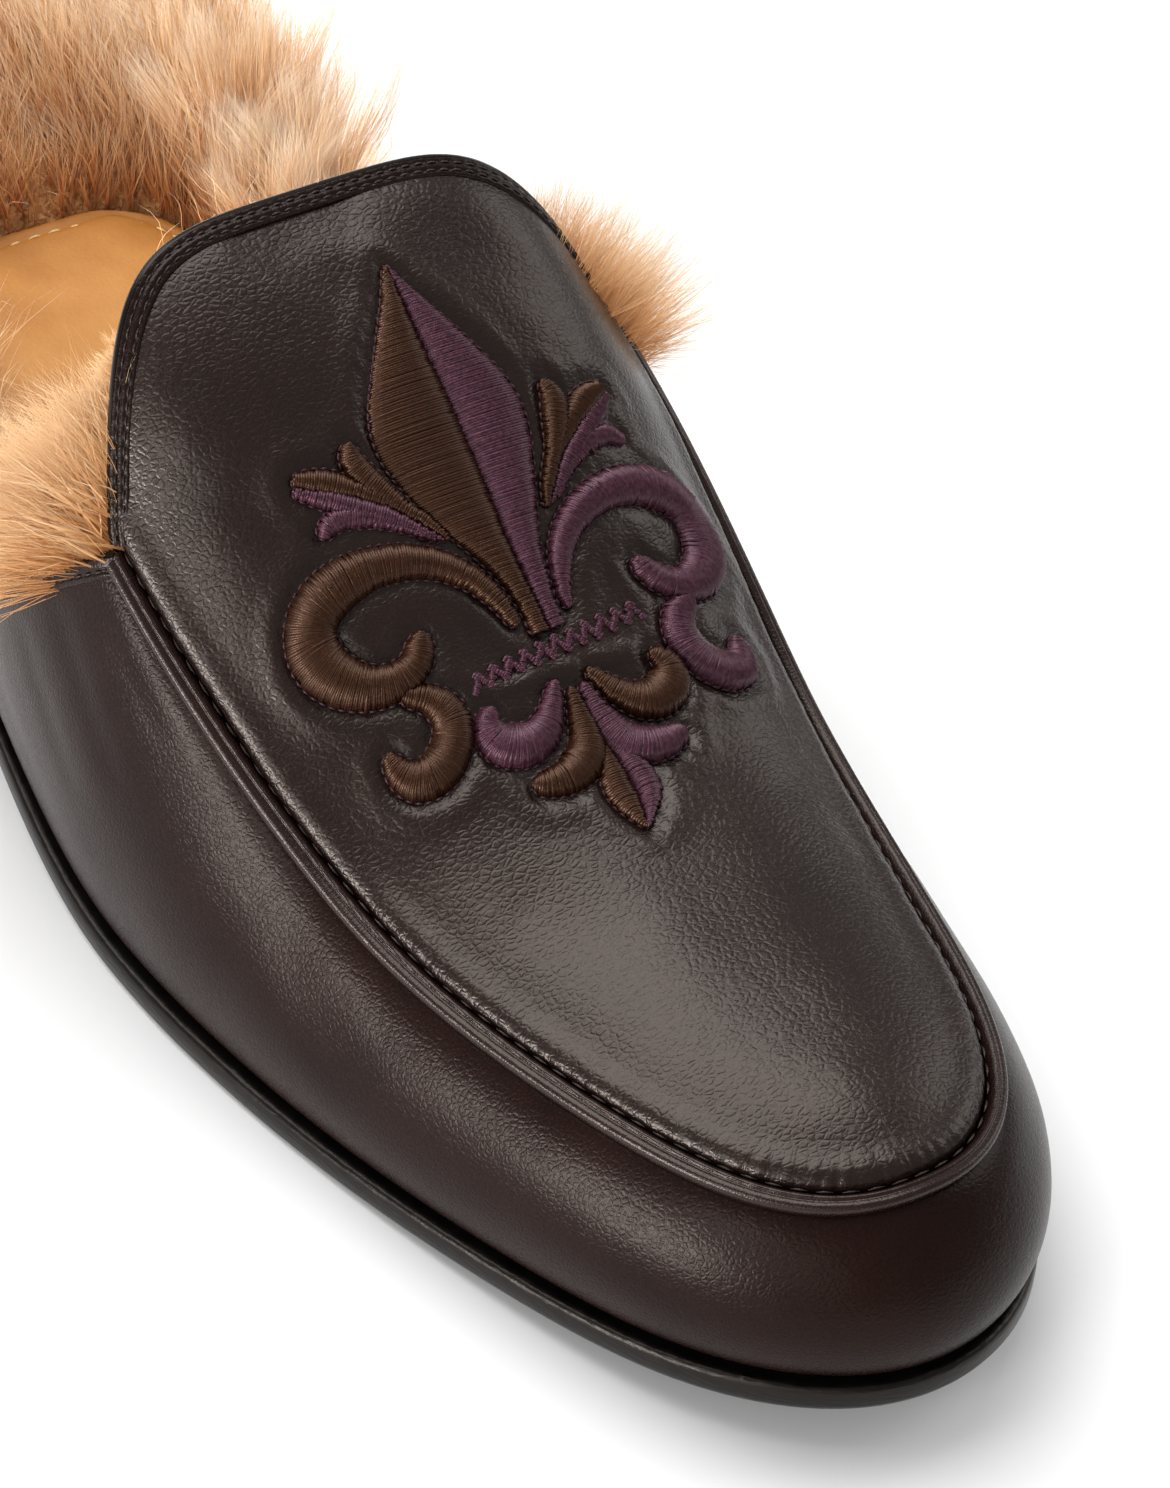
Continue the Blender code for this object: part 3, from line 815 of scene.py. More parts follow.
def pile(name, stops):
    """Long guard hair, honey along the length, brown towards the root and pale towards the tip. The brown
    root is partly the hair's own colour and partly painted shade deep in the pile; the pale tip is partly its
    own colour and partly painted light through the thin hair.

    The map runs across for the hair's own tone and up from root to tip.
    """
    levels = {"Roughness": 0.62, "IOR": 1.45, "Specular IOR Level": 0.3, "Sheen Weight": 0.2}
    made, tree, shader = new_finish(name, levels)
    apart = add(tree, "SeparateXYZ", {0: add(tree, "UVMap", uv_map="OFBake").outputs[0]})
    # brown root to pale tip: the root's darkness is partly painted shade deep in the pile, the tip's paleness
    # partly painted light through thin hair
    length = add(tree, "ValToRGB", {"Fac": apart.outputs["Y"]}, stops).outputs["Color"]
    own = {"Value": apart.outputs["X"], "To Min": 0.74, "To Max": 1.0}
    shade = add(tree, "MapRange", own).outputs["Result"]
    tinted = add(tree, "VectorMath", {0: length, 3: shade}, operation="SCALE").outputs[0]
    tree.links.new(tinted, shader.inputs["Base Color"])
    return made


def felted(name, dark, light):
    """Packed fibre, as in underwool seen between the hairs: matt, with short tangled marks."""
    made, tree, shader = new_finish(name, {"Roughness": 0.95, "IOR": 1.5})
    lumps = {"Vector": add(tree, "TexCoord").outputs["Object"], "Scale": per_mm(1.2)}
    tangle = add(tree, "TexNoise", {**lumps, "Detail": 6.0, "Distortion": 1.5}).outputs["Fac"]
    bumps(tree, shader, [(tangle, 0.8)])
    tone = add(tree, "ValToRGB", {"Fac": tangle}, [(0.3, dark), (0.75, light)])
    tree.links.new(tone.outputs["Color"], shader.inputs["Base Color"])
    return made


def tanned(name, dark, light):
    """Vegetable-tanned sheep sock: warm tan, matt, with faint wrinkles and a darker handled bloom."""
    made, tree, shader = new_finish(name, {"Roughness": 0.58, "IOR": 1.5})
    at = add(tree, "TexCoord").outputs["Object"]
    bloom = add(tree, "TexNoise", {"Vector": at, "Scale": per_mm(16), "Detail": 4.0}).outputs["Fac"]
    creased = add(tree, "TexNoise", {"Vector": at, "Scale": per_mm(5), "Detail": 5.0}).outputs["Fac"]
    pores = add(tree, "TexVoronoi", {"Vector": at, "Scale": per_mm(0.7)}).outputs["Distance"]
    bumps(tree, shader, [(creased, 0.25), (pores, 0.04)])
    tone = add(tree, "ValToRGB", {"Fac": bloom}, [(0.3, dark), (0.7, light)])
    tree.links.new(tone.outputs["Color"], shader.inputs["Base Color"])
    return made


# tints of the light that a dyed surface throws back
WARM_GLAZE = (1.0, 0.87, 0.79, 1.0)
BROWN_GLOW = (1.0, 0.60, 0.42, 1.0)
PURPLE_GLOW = (1.0, 0.64, 0.78, 1.0)
PLUM_GLOW = (1.0, 0.62, 0.62, 1.0)
DARK_GLOW = (1.0, 0.62, 0.42, 1.0)

# dark and light colour, roughness; a calf also has the size and depth of its grain in mm
WALL_CALF = calf("nappa_calf_wall", "#140807", "#1c0e0b", 0.27, 0.70, 0.018, shine=0.12)
APRON_CALF = calf("nappa_calf_apron", "#130907", "#1b0f0c", 0.28, 0.76, 0.028, shine=0.38, gathers=0.22)
BEAD_CALF = calf("rolled_calf", "#160a09", "#20110e", 0.25, 0.5, 0.012, shine=0.35)
BINDING_CALF = calf("binding_calf", "#120806", "#1a0e0b", 0.26, 0.6, 0.02, shine=0.2)
EDGE_PAINT = dressed_edge("edge_paint", "#060505", "#0e0b0a", 0.24, 0.02)
SOLE_EDGE = dressed_edge("dressed_sole_edge", "#050404", "#0f0d0c", 0.30, 0.08)
BLACK_THREAD = thread("bonded_seam_thread", "#0e0706", "#1c110e", 0.42, WARM_GLAZE)
BROWN_FLOSS = thread("brown_floss", "#150803", "#31170a", 0.32, BROWN_GLOW)
PURPLE_FLOSS = thread("purple_floss", "#210d17", "#4d2a36", 0.32, PURPLE_GLOW)
OUTLINE_FLOSS = thread("outline_floss", "#0c0708", "#25121b", 0.5, PLUM_GLOW)
UNDERLAY = thread("dark_underlay", "#120a08", "#1c100b", 0.8, DARK_GLOW)
# root to tip, brown to near-white: honey hair colour, its dark root partly painted shade and its pale tip
# partly painted light
FUR = pile("long_pile", [(0.0, "#b5713a"), (0.3, "#e0a265"), (0.65, "#f6cd9c"), (1.0, "#fff4e2")])
WOOL = felted("underwool", "#8a5830", "#d9a368")
SOCK = tanned("tan_sock_leather", "#a4671f", "#be8338")
SOCK_THREAD = thread("natural_linen_thread", "#d8b070", "#f0d09a", 0.7)
BOARD = felted("insole_fibre_board", "#6e553c", "#8d6f50")


# ======== upper ============================================================================
def apron_places(rows, columns):
    """Walk and q for a grid over the apron, from its throat edge to the toe."""
    q = np.linspace(-1, 1, rows)
    start = back_walks(q)
    t = np.linspace(0, 1, columns) ** 0.92
    walk = start[:, None] + (math.pi - start)[:, None] * t[None, :]
    return walk, np.broadcast_to(q[:, None], walk.shape)


def spine(table):
    """Dense smooth line through (a, c, half width) rows."""
    knots = np.linspace(0, 1, len(table))
    rows = [(k, *row) for k, row in zip(knots, table)]
    t = np.linspace(0, 1, CURVE_SAMPLES)
    line = np.stack([smooth(rows, n)(t) for n in (1, 2, 3)], 1)
    run = length_along(line[:, :2])
    return sampled(np.arange(0, run[-1], LINE_GAP), run, line)


def rounded(line, side):
    """A spine on one side of the axis, its ends drawn in like a fingertip."""
    line = line.copy()
    run = length_along(line[:, :2])
    for far, half in ((run, line[0, 2]), (run[-1] - run, line[-1, 2])):
        reach = max(half * 1.1, RIM)
        line[:, 2] *= np.sqrt(np.clip(1 - (1 - np.clip(far / reach, 0, 1)) ** 2, 0.03, 1))
    line[:, 1] = AXIS + side * line[:, 1]
    return line


def half_of(outline, side):
    """One half of a shape that is split along its middle, as a line with half widths."""
    a = np.arange(outline[0][0], outline[-1][0], STRAIGHT_GAP)
    edge = smooth(outline, 1 if side < 0 else 3)(a)
    middle = smooth(outline, 2)(a)
    half = np.maximum(np.abs(edge - middle) / 2, 0.05)
    return np.stack([a, AXIS + (edge + middle) / 2, half], 1)


def ornament():
    """Every satin-stitched shape: line of (a, b, half width), thread colour, height, straight threads."""
    shapes = []
    for side in (-1, 1):
        main, other = ("brown", "purple") if side < 0 else ("purple", "brown")
        shapes.append((half_of(SPEAR, side), main, 1.15, True))
        shapes.append((half_of(LEAF_MIDDLE, side), main, 1.3, True))
        plan = (
            (SCROLL, main, 2.2),
            (HOOK, main, 2.0),
            (LOBE_TOP, "brown", 1.25),
            (LOBE_MIDDLE, "brown", 1.15),
            (LOBE_UNDER, "purple", 1.15),
            (LOBE_LOW, "purple", 1.25),
            (CURL, other, 2.1),
            (LEAF_SIDE, main, 1.7),
        )
        for table, colour, height in plan:
            shapes.append((rounded(spine(table), side), colour, height, False))
    return shapes


SHAPES = ornament()


def distance_to_ornament(a, b):
    """Signed distance in mm from the nearest satin shape's edge."""
    best = np.full(a.shape, FAR)
    near = (a > ORNAMENT_FROM) & (a < ORNAMENT_TO) & (np.abs(b - AXIS) < ORNAMENT_HALF)
    pa, pb = a[near], b[near]
    found = np.full(pa.shape, FAR)
    for line, _, _, _ in SHAPES:
        for pa0, pb0, half in line[::2]:
            found = np.minimum(found, np.hypot(pa - pa0, pb - pb0) - half)
    best[near] = found
    return best


# relief of the leather beside a seam or an edge, mm: distance from it, width, height
APRON_BY_SEAM = ((3.9, 2.0, 0.55), (0.6, 1.15, -1.5))
WALL_BY_SEAM = ((0.0, 1.3, -0.55), (4.5, 2.5, 0.10))
WALL_BY_SOLE = ((0.0, 0.9, -0.9),)


def relief(distance, table):
    """Height at a distance, from the swells and grooves of a table."""
    return sum(height * bell(distance, centre, width) for centre, width, height in table)


# soft folds in the apron: start (a, b), end (a, b), depth, width
APRON_FOLDS = (
    ((6, -12), (16, -3), 0.25, 5.0),
    ((4, -16), (4, 1), 0.50, 5.0),
    ((30, -30), (44, -24), 0.30, 5.0),
    ((20, -34), (34, -22), -0.25, 6.0),
    ((10, 8), (24, 22), 0.25, 6.0),
    ((67.0, -12), (67.6, 9), -0.75, 1.1),
    ((65.9, -12), (66.2, 9), 0.30, 0.8),
    ((92, -22), (104, -10), 0.20, 6.0),
    ((88, 20), (100, 28), 0.20, 5.0),
)


def apron_lift(walk, a, b, from_seam, run):
    """How far the apron's face stands off the last, in mm; run is the place along its seam."""
    gathered = 0.35 + 0.65 * eased((walk - 2.0) / 0.8)
    pucker = np.sin(run * math.tau / SEAM_PITCH + 2.5 * ripple(run, 0 * a, size=14, seed=3))
    lift = relief(from_seam, APRON_BY_SEAM)
    lift += 0.05 * gathered * pucker * bell(from_seam, 2.6, 1.8)
    lift += 0.08 * ripple(run * 1.6, from_seam * 0.4, size=3.4, seed=11) * bell(from_seam, 0, 5)
    # the threads pull a groove round the ornament, with a soft swell outside it
    edge = distance_to_ornament(a, b)
    lift += -0.45 * bell(edge, 0, 0.8)
    lift += 0.25 * bell(edge, 2.4, 1.5) * (edge > 0)
    lift += 0.10 * ripple(a, b, size=2.6, seed=5) * bell(edge, 0, 3.5)
    lift += 0.22 * ripple(a, b, size=26, seed=8)
    for start, end, depth, width in APRON_FOLDS:
        lift += fold(a, b, start, end, depth, width)
    # the throat edge lies under the binding
    from_throat = (walk - walk[:, :1]) * LENGTH / 2
    return lift - 0.25 * bell(from_throat, 0, 2.5)


def make_apron():
    """Lasted top panel inside the seam."""
    rows, columns = 201, 231
    walk, q = apron_places(rows, columns)
    a = np.interp(walk, CHART_WALKS, CHART_RUN)
    girth = girth_at(OF_APRON, walk, q)
    from_seam = (1 - np.abs(q)) * girth
    seam = skin(walk, np.where(q < 0, -1.0, 1.0))
    run = np.cumsum(np.linalg.norm(np.diff(seam, axis=1, prepend=seam[:, :1]), axis=2), axis=1)
    run = np.where(q < 0, run - run[:, -1:], run[:, -1:] - run)
    # the outer and the inner half end on the same section, at the tip of the toe, and share its vertices
    index = np.arange(rows * columns).reshape(rows, columns)
    for row in range(rows // 2 + 1, rows):
        index[row, -1] = index[rows - 1 - row, -1]
    made = piece("apron_panel", skin(walk, q), quads_of(index), APRON_CALF, "upper_leather", ("upper",))
    face_up(made)
    swell(made, apron_lift(walk, a, q * girth, from_seam, run))
    for name, values in (("seam_run", run), ("seam_away", from_seam)):
        layer = made.data.attributes.new(name, "FLOAT", "POINT")
        layer.data.foreach_set("value", values.astype(np.float32).ravel())


# soft folds in the wall: start (u, mm above the sole), end, depth, width; outer then inner side
WALL_FOLDS = {
    -1: (
        ((150, 44), (168, 30), 0.16, 3.0),
        ((144, 34), (160, 22), 0.14, 3.5),
        ((156, 50), (172, 40), 0.12, 2.0),
        ((130, 20), (150, 10), 0.15, 5.0),
        ((196, 26), (214, 14), 0.20, 5.0),
    ),
    1: (
        ((140, 44), (160, 30), 0.16, 3.0),
        ((132, 28), (150, 18), 0.16, 4.0),
        ((186, 24), (204, 14), 0.22, 5.0),
    ),
}


def make_wall():
    """Lasted side panel outside the seam, from the outer side round the toe to the inner side."""
    rows, half = 46, 240
    walk = np.empty((rows, 2 * half - 1))
    q = np.empty(walk.shape)
    for k, level in enumerate(np.linspace(2, 1, rows)):
        outer, inner = (np.linspace(back_walk(side, 2 - level), math.pi, half) for side in (-1, 1))
        walk[k] = np.concatenate([outer[:-1], inner[::-1]])
        q[k] = np.where(np.arange(2 * half - 1) < half, -level, level)
    points = skin(walk, q)
    girth = girth_at(OF_WALL, walk, q)
    above = (2 - np.abs(q)) * girth
    u = points[..., 1]
    lift = relief(girth - above, WALL_BY_SEAM) + relief(above, WALL_BY_SOLE)
    lift += 0.07 * ripple(u, above, size=22, seed=21) * eased(above / 6)
    for side, folds in WALL_FOLDS.items():
        for start, end, depth, width in folds:
            lift += fold(u, above, start, end, depth, width) * (np.sign(q) == side)
    made = piece("wall_panel", points, quads(rows, 2 * half - 1), WALL_CALF, "upper_leather")
    face_up(made)
    swell(made, lift)


def seam_path(count):
    """Frames along the apron seam from the outer corner round the toe to the inner corner."""
    outer, inner = (np.linspace(back_walk(side, 1.0) + 0.004, math.pi, count) for side in (-1, 1))
    walk = np.concatenate([outer, inner[-2::-1]])
    side = np.concatenate([-np.ones(count), np.ones(count - 1)])
    centre = skin(walk, side)
    inward = unit(skin(walk, side * 0.96) - skin(walk, side * 1.04))
    out = unit(np.cross(inward, unit(np.gradient(centre, axis=0))))
    return walk, side, centre, out * np.sign(out[0, 2]), inward


def piping_width(walk, side):
    """Width of the bead, which changes evenly round the toe."""
    end = np.where(side < 0, PIPING_OUTER, PIPING_INNER)
    return end + (PIPING_TOE - end) * eased((walk - 2.4) / 0.7)


# section of the bead, in widths across the seam (wall to apron) and in rises above it
BEAD_SECTION = (
    (-0.50, -0.90),
    (-0.54, -0.30),
    (-0.52, 0.25),
    (-0.43, 0.66),
    (-0.28, 0.93),
    (-0.11, 1.00),
    (0.03, 0.90),
    (0.13, 0.74),
    (0.20, 0.66),
    (0.27, 0.68),
    (0.34, 0.70),
    (0.41, 0.64),
    (0.47, 0.46),
    (0.50, 0.10),
    (0.50, -0.50),
    (0.42, -0.90),
)


def make_piping():
    """Rolled bead over the seam; on the outer side the stitches pull up a thin lip beside it."""
    walk, side, centre, out, inward = seam_path(420)
    run = length_along(centre)
    across, bead = np.array(BEAD_SECTION).T
    lip = np.where(side < 0, 1 - 0.7 * eased((walk - 2.45) / 0.5), 0.3)
    bite = 0.5 + 0.5 * np.cos(run * math.tau / SEAM_PITCH)
    raised = bell(across, 0.37, 0.07)
    hollow = bell(across, 0.19, 0.05)
    rise = bead[None] + lip[:, None] * (raised * (0.10 - 0.16 * bite[:, None]) - hollow * 0.20)
    grown = PIPING_RISE * (1 + 0.05 * ripple(run, 0 * run, size=30, seed=2))[:, None] * rise
    wide = piping_width(walk, side)[:, None] * across
    points = centre[:, None] + inward[:, None] * wide[..., None] + out[:, None] * grown[..., None]
    faces = quads(len(walk), len(across), loop_columns=True)
    face_up(piece("seam_piping", points, faces, BEAD_CALF, "piping_leather", ("apron_piping",)))


def make_seam_stitches():
    """Stitches in the groove between the bead and the apron."""
    walk, side, centre, out, inward = seam_path(300)
    path = centre + inward * (piping_width(walk, side) * 0.5 + 0.3)[:, None] - out * 0.25
    points, faces = stitch_line(path, out, SEAM_PITCH, SEAM_PITCH * 0.7, SEAM_THICK, SEAM_THICK)
    piece("apron_seam_stitches", points, faces, BLACK_THREAD, "piping_leather")


# ======== topline ==========================================================================
def edge_frames(q):
    """Frames along the upper's back edge at the given q values, with the way into the panel."""
    walk = back_walks(q)
    centre, out, along, across = skin_frame(walk, q)
    tangent = unit(np.gradient(centre, axis=0))
    into = unit(np.cross(out, tangent))
    into *= np.sign(into[:, 1:2].sum())
    return walk, q, centre, out, along, across, tangent, into


def edge_offset(frames, distance, lift):
    """Points at a distance in from the edge on the surface, raised by lift; below 0 hangs over it."""
    walk, q, centre, out, along, across, tangent, into = frames
    move = max(distance, 0.0)
    moved = step_on_skin(walk, q, along, across, into * move)
    points, normals, _, _ = skin_frame(np.clip(moved[0], 0, math.pi), np.clip(moved[1], -2, 2))
    drift = centre + into * move - points
    points = points + tangent * (drift * tangent).sum(-1, keepdims=True)
    return points + into * min(distance, 0.0) + normals * np.asarray(lift).reshape(-1, 1), normals


def edge_q(low, high, count):
    """q values spread evenly by length along the back edge, and that length."""
    rough = np.linspace(low, high, 400)
    run = length_along(skin(back_walks(rough), rough))
    return np.interp(np.linspace(0, run[-1], count), run, rough), run[-1]


# borders of a binding: in past its width, share of its rise; then in from the edge, share of its rise
BINDING_LOWER = ((0.25, -0.5), (0.18, 0.25), (-0.05, 0.72), (-0.35, 0.86))
BINDING_UPPER = ((0.3, 0.97), (0.1, 0.93))


def bind(name, span, count, width, rise, rows_at):
    """Folded strip over an edge: a flat leather band, its stitch rows, and a painted roll outside.

    span is the stretch of q that it covers, count the number of its sections.
    """
    q, total = edge_q(*span, count)
    frames = edge_frames(q)
    run = np.linspace(0, total, count)
    stitch = 0.5 + 0.5 * np.cos(run * math.tau / TOP_STITCH)
    full = 0.35 + 0.65 * (eased(run / 2.5) * eased((total - run) / 2.5))

    def strip(kind, lines, finish):
        grid = np.stack([edge_offset(frames, distance, lift)[0] for distance, lift in lines], 1)
        face_up(piece(name + kind, grid, quads(count, grid.shape[1]), finish, "upper_leather"))

    border = [(width + past, share) for past, share in BINDING_LOWER]
    border += [(distance, 1.0) for distance in np.linspace(width - 0.55, 0.5, int(width / 0.22))]
    band = []
    for distance, share in (*border, *BINDING_UPPER):
        sunk = sum(bell(distance, row, 0.30) for row in rows_at)
        band.append((distance, rise * share * full - sunk * (0.16 + 0.16 * stitch)))
    strip("_strip", band, BINDING_CALF)
    roll = []
    for turn in np.linspace(math.radians(78), math.radians(-100), 11):
        lift = rise * 0.93 * full + EDGE_ROLL * (math.sin(turn) - 1) * 0.95
        roll.append((0.25 - EDGE_ROLL * (math.cos(turn) * 1.25), lift))
    strip("_edge", (*roll, (2.5, np.full(count, -WALL))), EDGE_PAINT)
    rows = []
    for row in rows_at:
        path, normals = edge_offset(frames, row, rise * 0.9 * np.ones(count))
        path = path - normals * 0.06
        rows.append(stitch_line(path, normals, TOP_STITCH, TOP_STITCH * 0.72, TOP_THICK, TOP_THICK))
    points, faces = joined(rows)
    piece(name + "_stitches", points, faces, BLACK_THREAD, "upper_leather")


# ======== embroidery =======================================================================
def on_apron(a, b, lift):
    """Points lift mm above the apron at places of its chart."""
    walk, q = chart(a, b)
    points, normals, _, _ = skin_frame(np.clip(walk, 0, math.pi), np.clip(q, -1.2, 1.2))
    return points + normals * np.asarray(lift)[..., None]


def line_sides(line, straight):
    """Unit vectors along and across a line in the chart."""
    along = np.gradient(line[:, :2], axis=0)
    along /= np.linalg.norm(along, axis=1)[:, None]
    if straight:
        along = np.broadcast_to(np.array([1.0, 0.0]), along.shape)
    return along, np.stack([-along[:, 1], along[:, 0]], 1)


def dome(v, height, half):
    """Padding under satin stitch: full in the middle, rolling down to the edges."""
    full = np.minimum(height, 0.3 + half * 0.62)
    return full * np.clip(1 - np.abs(v) ** 2.2, 0, 1) ** 0.55 - 0.35 * np.abs(v) ** 8


# places across a satin-stitched shape, closer together where the threads go down at its edges
ACROSS = np.sin(np.linspace(-1, 1, 9) * math.pi / 2)


def satin(line, height, straight, rng):
    """Threads side by side across a shape, each a thin raised strip over the padding."""
    along, across = line_sides(line, straight)
    left = line[:, :2] - across * line[:, 2:]
    right = line[:, :2] + across * line[:, 2:]
    grow = np.maximum(np.hypot(*np.diff(left, axis=0).T), np.hypot(*np.diff(right, axis=0).T))
    run = np.concatenate([[0], np.cumsum(grow)])
    at = np.arange(0.05, run[-1], THREAD)
    centre, t, n = (sampled(at, run, values) for values in (line, along, across))
    count = len(at)
    v = ACROSS[None, :, None]
    ragged = rng.normal(0, RAGGED, (count, 2))
    low = -centre[:, 2] - OVERHANG + ragged[:, 0]
    high = centre[:, 2] + OVERHANG + ragged[:, 1]
    reach = low[:, None, None] + (high - low)[:, None, None] * (v + 1) / 2
    sway = rng.normal(0, SWAY, (count, 1, 1)) * (1 - v ** 2)
    w = np.array([-0.5, 0.0, 0.5])[None, None, :] * THREAD * OVERLAP
    a = centre[:, 0, None, None] + n[:, 0, None, None] * reach + t[:, 0, None, None] * (w + sway)
    b = centre[:, 1, None, None] + n[:, 1, None, None] * reach + t[:, 1, None, None] * (w + sway)
    crest = np.array([-CREST, CREST, -CREST])[None, None, :] + rng.normal(0, 0.035, (count, 1, 1))
    half = centre[:, 2, None, None]
    lift = dome(v, height, half) + crest + 0.02
    points = on_apron(a, b, np.broadcast_to(lift, a.shape))
    return points, copies(quads(len(ACROSS), 3), count, 3 * len(ACROSS))


def padding(line, height, straight):
    """Dark felt under the threads, just below them."""
    _, across = line_sides(line, straight)
    reach = ACROSS[None, :] * line[:, 2:]
    a = line[:, 0, None] + across[:, 0, None] * reach
    b = line[:, 1, None] + across[:, 1, None] * reach
    lift = dome(ACROSS[None, :], height, line[:, 2:]) - FELT_UNDER
    return on_apron(a, b, lift), quads(len(line), len(ACROSS))


def outline(line, straight):
    """Short stitches round a shape, where its threads go down through the leather."""
    _, across = line_sides(line, straight)
    left = line[:, :2] - across * (line[:, 2:] + OUTLINE_OUT)
    right = line[:, :2] + across * (line[:, 2:] + OUTLINE_OUT)
    loop = np.concatenate([left, right[::-1], left[:1]])
    path = on_apron(loop[:, 0], loop[:, 1], np.full(len(loop), -0.12))
    up = on_apron(loop[:, 0], loop[:, 1], np.full(len(loop), 1.0)) - path
    return stitch_line(path, unit(up), OUTLINE_PITCH, *OUTLINE_STITCH)


def cross_band(rng):
    """Plain zigzag band of purple floss under the spear."""
    parts = []
    for k in range(BAND_BARS):
        b0 = -BAND_HALF + 2 * BAND_HALF * (k + 0.5) / BAND_BARS
        lean = BAND_LEAN if k % 2 else -BAND_LEAN
        reach = np.linspace(-BAND_WIDTH / 2, BAND_WIDTH / 2, 7)
        line = np.stack([BAND_AT + BAND_TILT * b0 + reach, AXIS + b0 + reach * lean, np.full(7, BAND_BAR)], 1)
        parts.append(satin(line, 0.5, False, rng))
    return parts


def make_embroidery():
    """Satin stitch in two colours over felt padding, with short stitches round each shape."""
    rng = np.random.default_rng(4)
    for colour, finish in (("brown", BROWN_FLOSS), ("purple", PURPLE_FLOSS)):
        own = [shape for shape in SHAPES if shape[1] == colour]
        parts = [satin(line, height, straight, rng) for line, _, height, straight in own]
        if colour == "purple":
            parts += cross_band(rng)
        face_up(piece(colour + "_satin_stitch", *joined(parts), finish, "upper_leather"))
    felt = joined([padding(line[::2], height, straight) for line, _, height, straight in SHAPES])
    face_up(piece("embroidery_padding", *felt, UNDERLAY, "upper_leather"))
    border = joined([outline(line, straight) for line, _, _, straight in SHAPES])
    piece("embroidery_outline", *border, OUTLINE_FLOSS, "upper_leather")


# ======== bottom ===========================================================================
def sole_loop(walks, inset):
    """Closed outline, moved in from the sole's edge."""
    outer = np.stack(edge_point(-1, walks, inset), 1)
    inner = np.stack(edge_point(1, walks, inset), 1)
    return np.concatenate([outer, inner[::-1]])


def slab(name, rings, finish, slot, stands_for, base=sole_z):
    """Closed loft through rings of (closed outline, height above base, roughness of the edge)."""
    lines = []
    for around, rise, rough in rings:
        z = base(around[:, 1] / LENGTH) + rise
        z = z + rough * ripple(around[:, 0] * 1.7, around[:, 1], size=2.2, seed=9)
        lines.append(np.column_stack([around, z]))
    points = np.stack(lines)
    count = points.shape[1]
    faces = [quads(len(lines), count, loop_columns=True)]
    for ring in (0, len(lines) - 1):
        k = np.arange(count // 2 - 1)
        cap = np.stack([k, k + 1, count - 2 - k, count - 1 - k], 1) + ring * count
        faces.append(cap if ring else cap[:, ::-1])
    made = piece(name, points, np.concatenate(faces), finish, slot, stands_for)
    bend = made.modifiers.new("edges", "EDGE_SPLIT")
    bend.split_angle = math.radians(50)


# section of the outsole's edge: inset, height, roughness
OUTSOLE_EDGE = (
    (2.4, 0.0, 0.0),
    (1.2, 0.05, 0.0),
    (0.35, 0.45, 0.0),
    (0.0, 1.2, 0.0),
    (0.0, 2.4, 0.0),
    (0.05, 3.3, 0.03),
    (0.25, 3.85, 0.07),
    (0.7, SOLE, 0.07),
    (1.5, SOLE - 0.05, 0.05),
    (4.5, SOLE - 0.1, 0.0),
)
# section of the heel's face, with two grooves between its lifts: inset, height
HEEL_FACE = (
    (3.0, 0.0),
    (2.5, 0.3),
    (2.3, 3.6),
    (2.7, 3.8),
    (2.2, 4.0),
    (1.4, 8.6),
    (1.8, 8.8),
    (1.3, 9.0),
    (0.7, 13.4),
    (0.9, HEEL - GAP),
)


def make_outsole():
    """Leather sole: a waxed edge that stands out past the upper."""
    walks = np.linspace(0, math.pi, 320)
    rings = [(sole_loop(walks, inset), rise, rough) for inset, rise, rough in OUTSOLE_EDGE]
    slab("leather_outsole", rings, SOLE_EDGE, "outsole_leather", ("outsole",))


def make_heel():
    """Stacked block in three lifts, its straight front leaning forward as it rises."""
    rings = []
    for inset, height in HEEL_FACE:
        front = HEEL_BREAST + HEEL_LEAN * height / (HEEL - GAP)
        rings.append((sole_loop(np.linspace(0, float(walk_of(front)), 90), inset), height, 0.0))
    slab("stacked_heel", rings, SOLE_EDGE, "heel_leather", ("heel",), base=np.zeros_like)


def between_walls(station, before, over):
    """0 on the open seat behind the side walls, 1 between them; the change starts before their end."""
    return eased((station - TAIL + before) / over)


def insole_inset(walks):
    """The board reaches out to the sole's edge behind the walls and lies inside them in front."""
    inside = LEDGE + WALL + 2 * GAP
    return SEAT_INSET + (inside - SEAT_INSET) * between_walls(station_of(walks), 0.09, 0.07)


def make_insole():
    """Fibre board with square edges."""
    walks = np.linspace(0, math.pi, 160)
    loop = sole_loop(walks, insole_inset(walks))
    rings = [(loop, SOLE + GAP + rise, 0.0) for rise in (0.0, 0.3, INSOLE - 0.3, INSOLE)]
    slab("insole_board", rings, BOARD, "insole_board", ("insole",))


def pad_edge(inset, count):
    """Sock pad outline as two sides, from its rounded rear to its straight front."""
    stations = PAD_FROM + (PAD_TO - PAD_FROM) * np.linspace(0, 1, count) ** 1.7
    walks = walk_of(stations)
    into = np.clip((stations - PAD_FROM) * LENGTH / PAD_CORNER, 0, 1)
    full = (1 - (1 - into) ** PAD_SQUARE) ** (1 / PAD_SQUARE)
    sides = []
    for side in (-1, 1):
        x, _ = edge_point(side, walks)
        middle = middle_x(stations)
        reach = np.maximum(np.abs(x - middle) - PAD_INSET, 1.0) * full
        u = stations * LENGTH + inset * (1 - into) ** 2
        sides.append(np.stack([middle + side * np.maximum(reach - inset, 0.0), u], 1))
    return sides


def pad_top(from_edge, x, u):
    """Height of the pad's face over its base: turned-down edge, stitch groove, slight doming."""
    top = PAD - PAD_ROLL + PAD_ROLL * np.clip(from_edge / 1.2, 0, 1) ** 0.5 + 0.5 * eased(from_edge / 14)
    return top - 0.30 * bell(from_edge, PAD_SEAM, 0.6) + 0.10 * ripple(x, u, size=18, seed=6)


